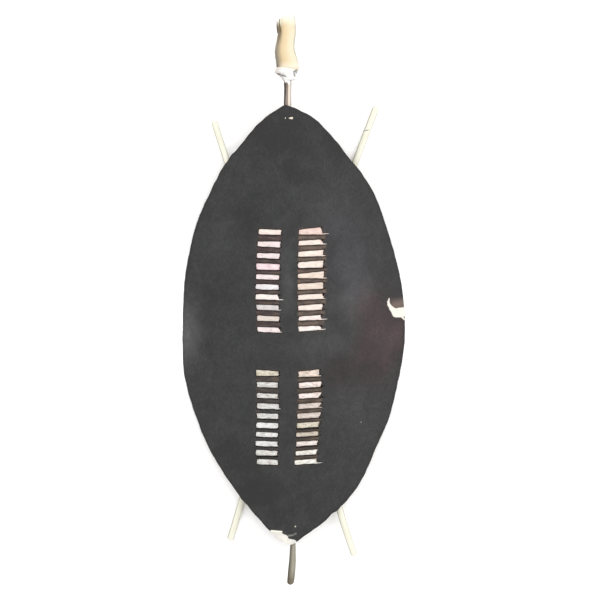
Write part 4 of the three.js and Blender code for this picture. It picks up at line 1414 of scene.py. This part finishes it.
def collar(finish):
    """The gathered collar: pleated, with a tongue down its front, a left lobe and folds."""
    turn = circle(200)
    lean = np.sin(turn)
    rings, marks = [], []
    for y in np.linspace(COLLAR_FOOT, COLLAR_HEM, 68):
        left, right = smooth_curve(COLLAR, y)
        radius = left + (right - left) * smooth_step(-0.7, 0.75, lean)
        field = np.c_[2.5 * np.cos(turn), 2.5 * lean, np.full(len(turn), y / 8)]
        pleats = np.sin(7 * turn + 0.4 * math.sin(y / 5)) * 0.03 + ripple(field, 2.4, 51) * 0.04
        radius = radius * (1 + pleats * smooth_step(428, 446, y) * smooth_step(468, 456, y))
        tongue = 1 - np.exp(-((lean - 0.26) / 0.34) ** 2) * (np.cos(turn) > 0)
        lifted = 8.5 * tongue - 4.2 * smooth_step(0.1, -0.7, lean)
        level = y + smooth_step(441, 428, y) * lifted
        x, z, _ = centre_line(level)
        fold = fold_depth(x + radius * lean, level) * smooth_step(-0.35, 0.1, np.cos(turn))
        radius = radius - 1.8 * fold
        rings.append(np.c_[x + radius * lean, level, z + radius * np.cos(turn)])
        # The folds carry the crease mark, which the finish darkens as painted shade
        marks.append(fold * 0.9)
    points, faces = loft(rings)
    shape = Shape()
    shape.add(points, faces, crease=ended(marks), side=ended([lean] * len(rings)))
    shape.add(*thong_end((-31, 454.5), (-38.5, 452.4), 3.4), crease=0.0, side=-0.6)
    return shape.piece("tuft_collar", [finish], ["tuft_binding"])


def thong_end(start, end, width):
    """A short loose end of thong that stands out to the side of the collar."""
    rings = []
    z = float(centre_line(np.array(450.0))[1]) + 4
    turn = circle(10)
    for share in np.linspace(0, 1, 7):
        middle = np.array([start[0] + (end[0] - start[0]) * share,
                           start[1] + (end[1] - start[1]) * share + math.sin(3 * share), z])
        size = width / 2 * (1 - 0.6 * share)
        rings.append(middle + np.c_[np.zeros(10), size * np.cos(turn), size * 0.7 * np.sin(turn)])
    return loft(rings)


# The ties and the lashing

def squared(wave, softness):
    """A wave with flatter tops, so that a circle becomes a rounded box."""
    return np.sign(wave) * np.abs(wave) ** softness


def thong_along(path, width):
    """A flat thong whose middle follows a path in X, Y and Z; its width lies along Y."""
    path = np.asarray(path, float)
    along = np.gradient(path, axis=0)
    along /= np.linalg.norm(along, axis=1, keepdims=True)
    turn = circle(14)
    across = squared(np.cos(turn), 0.5)[:, None] * width / 2
    rise = squared(np.sin(turn), 0.7)[:, None] * THONG_THICKNESS / 2
    rings = []
    for middle, way in zip(path, along):
        out = np.cross(way, (0.0, 1.0, 0.0))
        out /= np.linalg.norm(out)
        rings.append(middle + across * np.cross(out, way) + rise * out)
    return loft(rings)


def tie_round_stick(y, start, end):
    """A path round the back of the centre stick. Its two ends are lists of [x, z] points,
    worked out from the height just under the hide."""
    x, z, radius = (float(v) for v in centre_line(np.array(float(y))))
    round_it = radius + SEAT_GAP + HALF_THONG
    under = float(back_height(abs(x) + round_it + HALF_THONG)) - SEAT_GAP - HALF_THONG
    turn = np.linspace(math.pi, 2 * math.pi, 15)
    corners = start(under) + [(x - round_it, under)]
    corners += [(x + round_it * math.cos(a), z + round_it * math.sin(a)) for a in turn]
    corners += [(x + round_it, under)] + end(under)
    corners = np.array(corners)
    lengths = np.r_[0, np.cumsum(np.linalg.norm(np.diff(corners, axis=0), axis=1))]
    fine = np.linspace(0, lengths[-1], 70)
    flat = np.c_[np.interp(fine, lengths, corners[:, 0]), np.interp(fine, lengths, corners[:, 1])]
    for _ in range(2):
        flat[1:-1] = (flat[:-2] + 2 * flat[1:-1] + flat[2:]) / 4
    return np.c_[flat[:, 0], np.full(len(flat), y), flat[:, 1]]


def ties(finish):
    """The top tie, through two holes with a toggle on the face, and the low tie, through one."""
    face = RIDGE + HIDE_THICKNESS
    proud = face + SEAT_GAP + HALF_THONG
    top = tie_round_stick(
        TOP_TIE, lambda under: [(TOP_LEFT_HOLE, face - 0.4), (TOP_LEFT_HOLE, under)],
        lambda under: [(TOP_RIGHT_HOLE, under), (TOP_RIGHT_HOLE, proud - 0.4)])
    shape = Shape()
    shape.add(*thong_along(top, TIE_WIDTH))
    shape.add(*toggle(-9.9, -0.5, TOP_TIE, proud))
    shape.piece("top_tie_thong", [finish], ["top_tie"])
    x = float(centre_line(np.array(LOW_TIE))[0])
    low = tie_round_stick(LOW_TIE, lambda under: [(x + 1, under)],
                          lambda under: [(LOW_HOLE, under), (LOW_HOLE, face + 0.4)])
    shape = Shape()
    shape.add(*thong_along(low, TIE_WIDTH))
    shape.piece("low_tie_thong", [finish], ["low_tie"])


def toggle(left, right, y, z):
    """The tie's flattened drop-shaped end, which keeps it from slipping back through."""
    turn = circle(16)
    rings = []
    for share in np.linspace(0.02, 0.98, 15):
        drop = math.sqrt(math.sin(math.pi * share)) * (0.45 + 0.55 * smooth_step(0.1, 0.75, share))
        middle = np.array([left + (right - left) * share, y - 0.4 + 0.4 * share, z])
        rings.append(middle + drop * np.c_[np.zeros(16), 2.5 * np.cos(turn), 0.8 * np.sin(turn)])
    return loft(rings)


def cross_lashing(finish):
    """Several turns of thong round the three sticks where they cross."""
    low, high = (np.array(corner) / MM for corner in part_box("cross_lashing"))
    middle = (low + high) / 2
    half = (high - low) / 2 - (HALF_THONG, 0, HALF_THONG)
    turns = 5
    turn = np.linspace(0, 2 * math.pi * turns, 60 * turns)
    share = turn / turn[-1]
    side, up = squared(np.cos(turn), 0.6), squared(np.sin(turn), 0.3)
    y = middle[1] + (share - 0.5) * (2 * half[1] - 4.2) + 0.5 * np.sin(turn)
    path = np.c_[middle[0] + side * half[0], y, middle[2] + up * half[2]]
    shape = Shape()
    shape.add(*thong_along(path, LASHING_WIDTH))
    return shape.piece("cross_lashing_thong", [finish], ["cross_lashing"])


# The studio

# The camera: the width it takes in, its lens and sensor, and where it looks, in millimetres
FIELD = 1200.0
CAMERA_LENS = 135.0
SENSOR = 36.0
FOCUS_HEIGHT = 24.0
PHOTO_MIDDLE_X = 13.0
# The lights: strength of the pale room, and each soft lamp's place, size and power
ROOM_LIGHT = 1.27
SOFT_LAMPS = {
    "soft_right": ((2.3, 0.4, 2.8), 2.6, 27.0),
    "soft_top": ((-0.6, 1.2, 3.2), 3.0, 20.0),
}
FLOOR_REACH = 6.0
FLOOR_DROP = 0.0003


def place_camera(scene):
    view = bpy.data.cameras.new("camera")
    view.lens = CAMERA_LENS
    view.sensor_width = SENSOR
    view.clip_end = 50
    distance = FIELD * CAMERA_LENS / SENSOR
    camera = bpy.data.objects.new("camera", view)
    camera.location = (PHOTO_MIDDLE_X * MM, 0, (distance + FOCUS_HEIGHT) * MM)
    scene.collection.objects.link(camera)
    scene.camera = camera
    scene.view_settings.view_transform = "Standard"


def place_lights(scene):
    world = bpy.data.worlds.new("studio_light")
    world.use_nodes = True
    world.node_tree.nodes["Background"].inputs["Color"].default_value = (1, 1, 1, 1)
    world.node_tree.nodes["Background"].inputs["Strength"].default_value = ROOM_LIGHT
    scene.world = world
    for name, (place, size, power) in SOFT_LAMPS.items():
        lamp = bpy.data.lights.new(name, "AREA")
        lamp.size = size
        lamp.energy = power
        holder = bpy.data.objects.new(name, lamp)
        holder.location = place
        aim_x, aim_y, aim_z = (-part for part in place)
        holder.rotation_euler = (math.atan2(math.hypot(aim_x, aim_y), -aim_z), 0,
                                 math.atan2(aim_y, aim_x) - math.pi / 2)
        scene.collection.objects.link(holder)


def lay_floor(scene):
    floor = bpy.data.meshes.new("floor")
    sides = ((-1, -1), (1, -1), (1, 1), (-1, 1))
    corners = [(x * FLOOR_REACH, y * FLOOR_REACH, 0) for x, y in sides]
    floor.from_pydata(corners, [], [(0, 1, 2, 3)])
    floor.materials.append(floor_paint())
    ground = bpy.data.objects.new("floor", floor)
    ground.location.z = -FLOOR_DROP
    scene.collection.objects.link(ground)


def main():
    scene = bpy.context.scene
    place_camera(scene)
    place_lights(scene)
    lay_floor(scene)
    hide_sheet([black_hair(), rawhide(), cut_edge()])
    smooth, fibrous = strip_skin("strip_smooth", 0.3, 0.12), strip_skin("strip_fibrous", 0.7, 0.65)
    for seed, name in enumerate(COLUMNS):
        lacing_strip(name, fibrous if "lower" in name else smooth, 60 + 10 * seed)
    centre_stick(weathered_wood())
    for name in BRACES:
        brace_stick(name, peeled_wood(name.replace("brace_stick", "peeled"), brace_slant(name)))
    tuft(sleeve_skin())
    collar(white_skin())
    thong = raw_thong()
    ties(thong)
    cross_lashing(thong)


main()
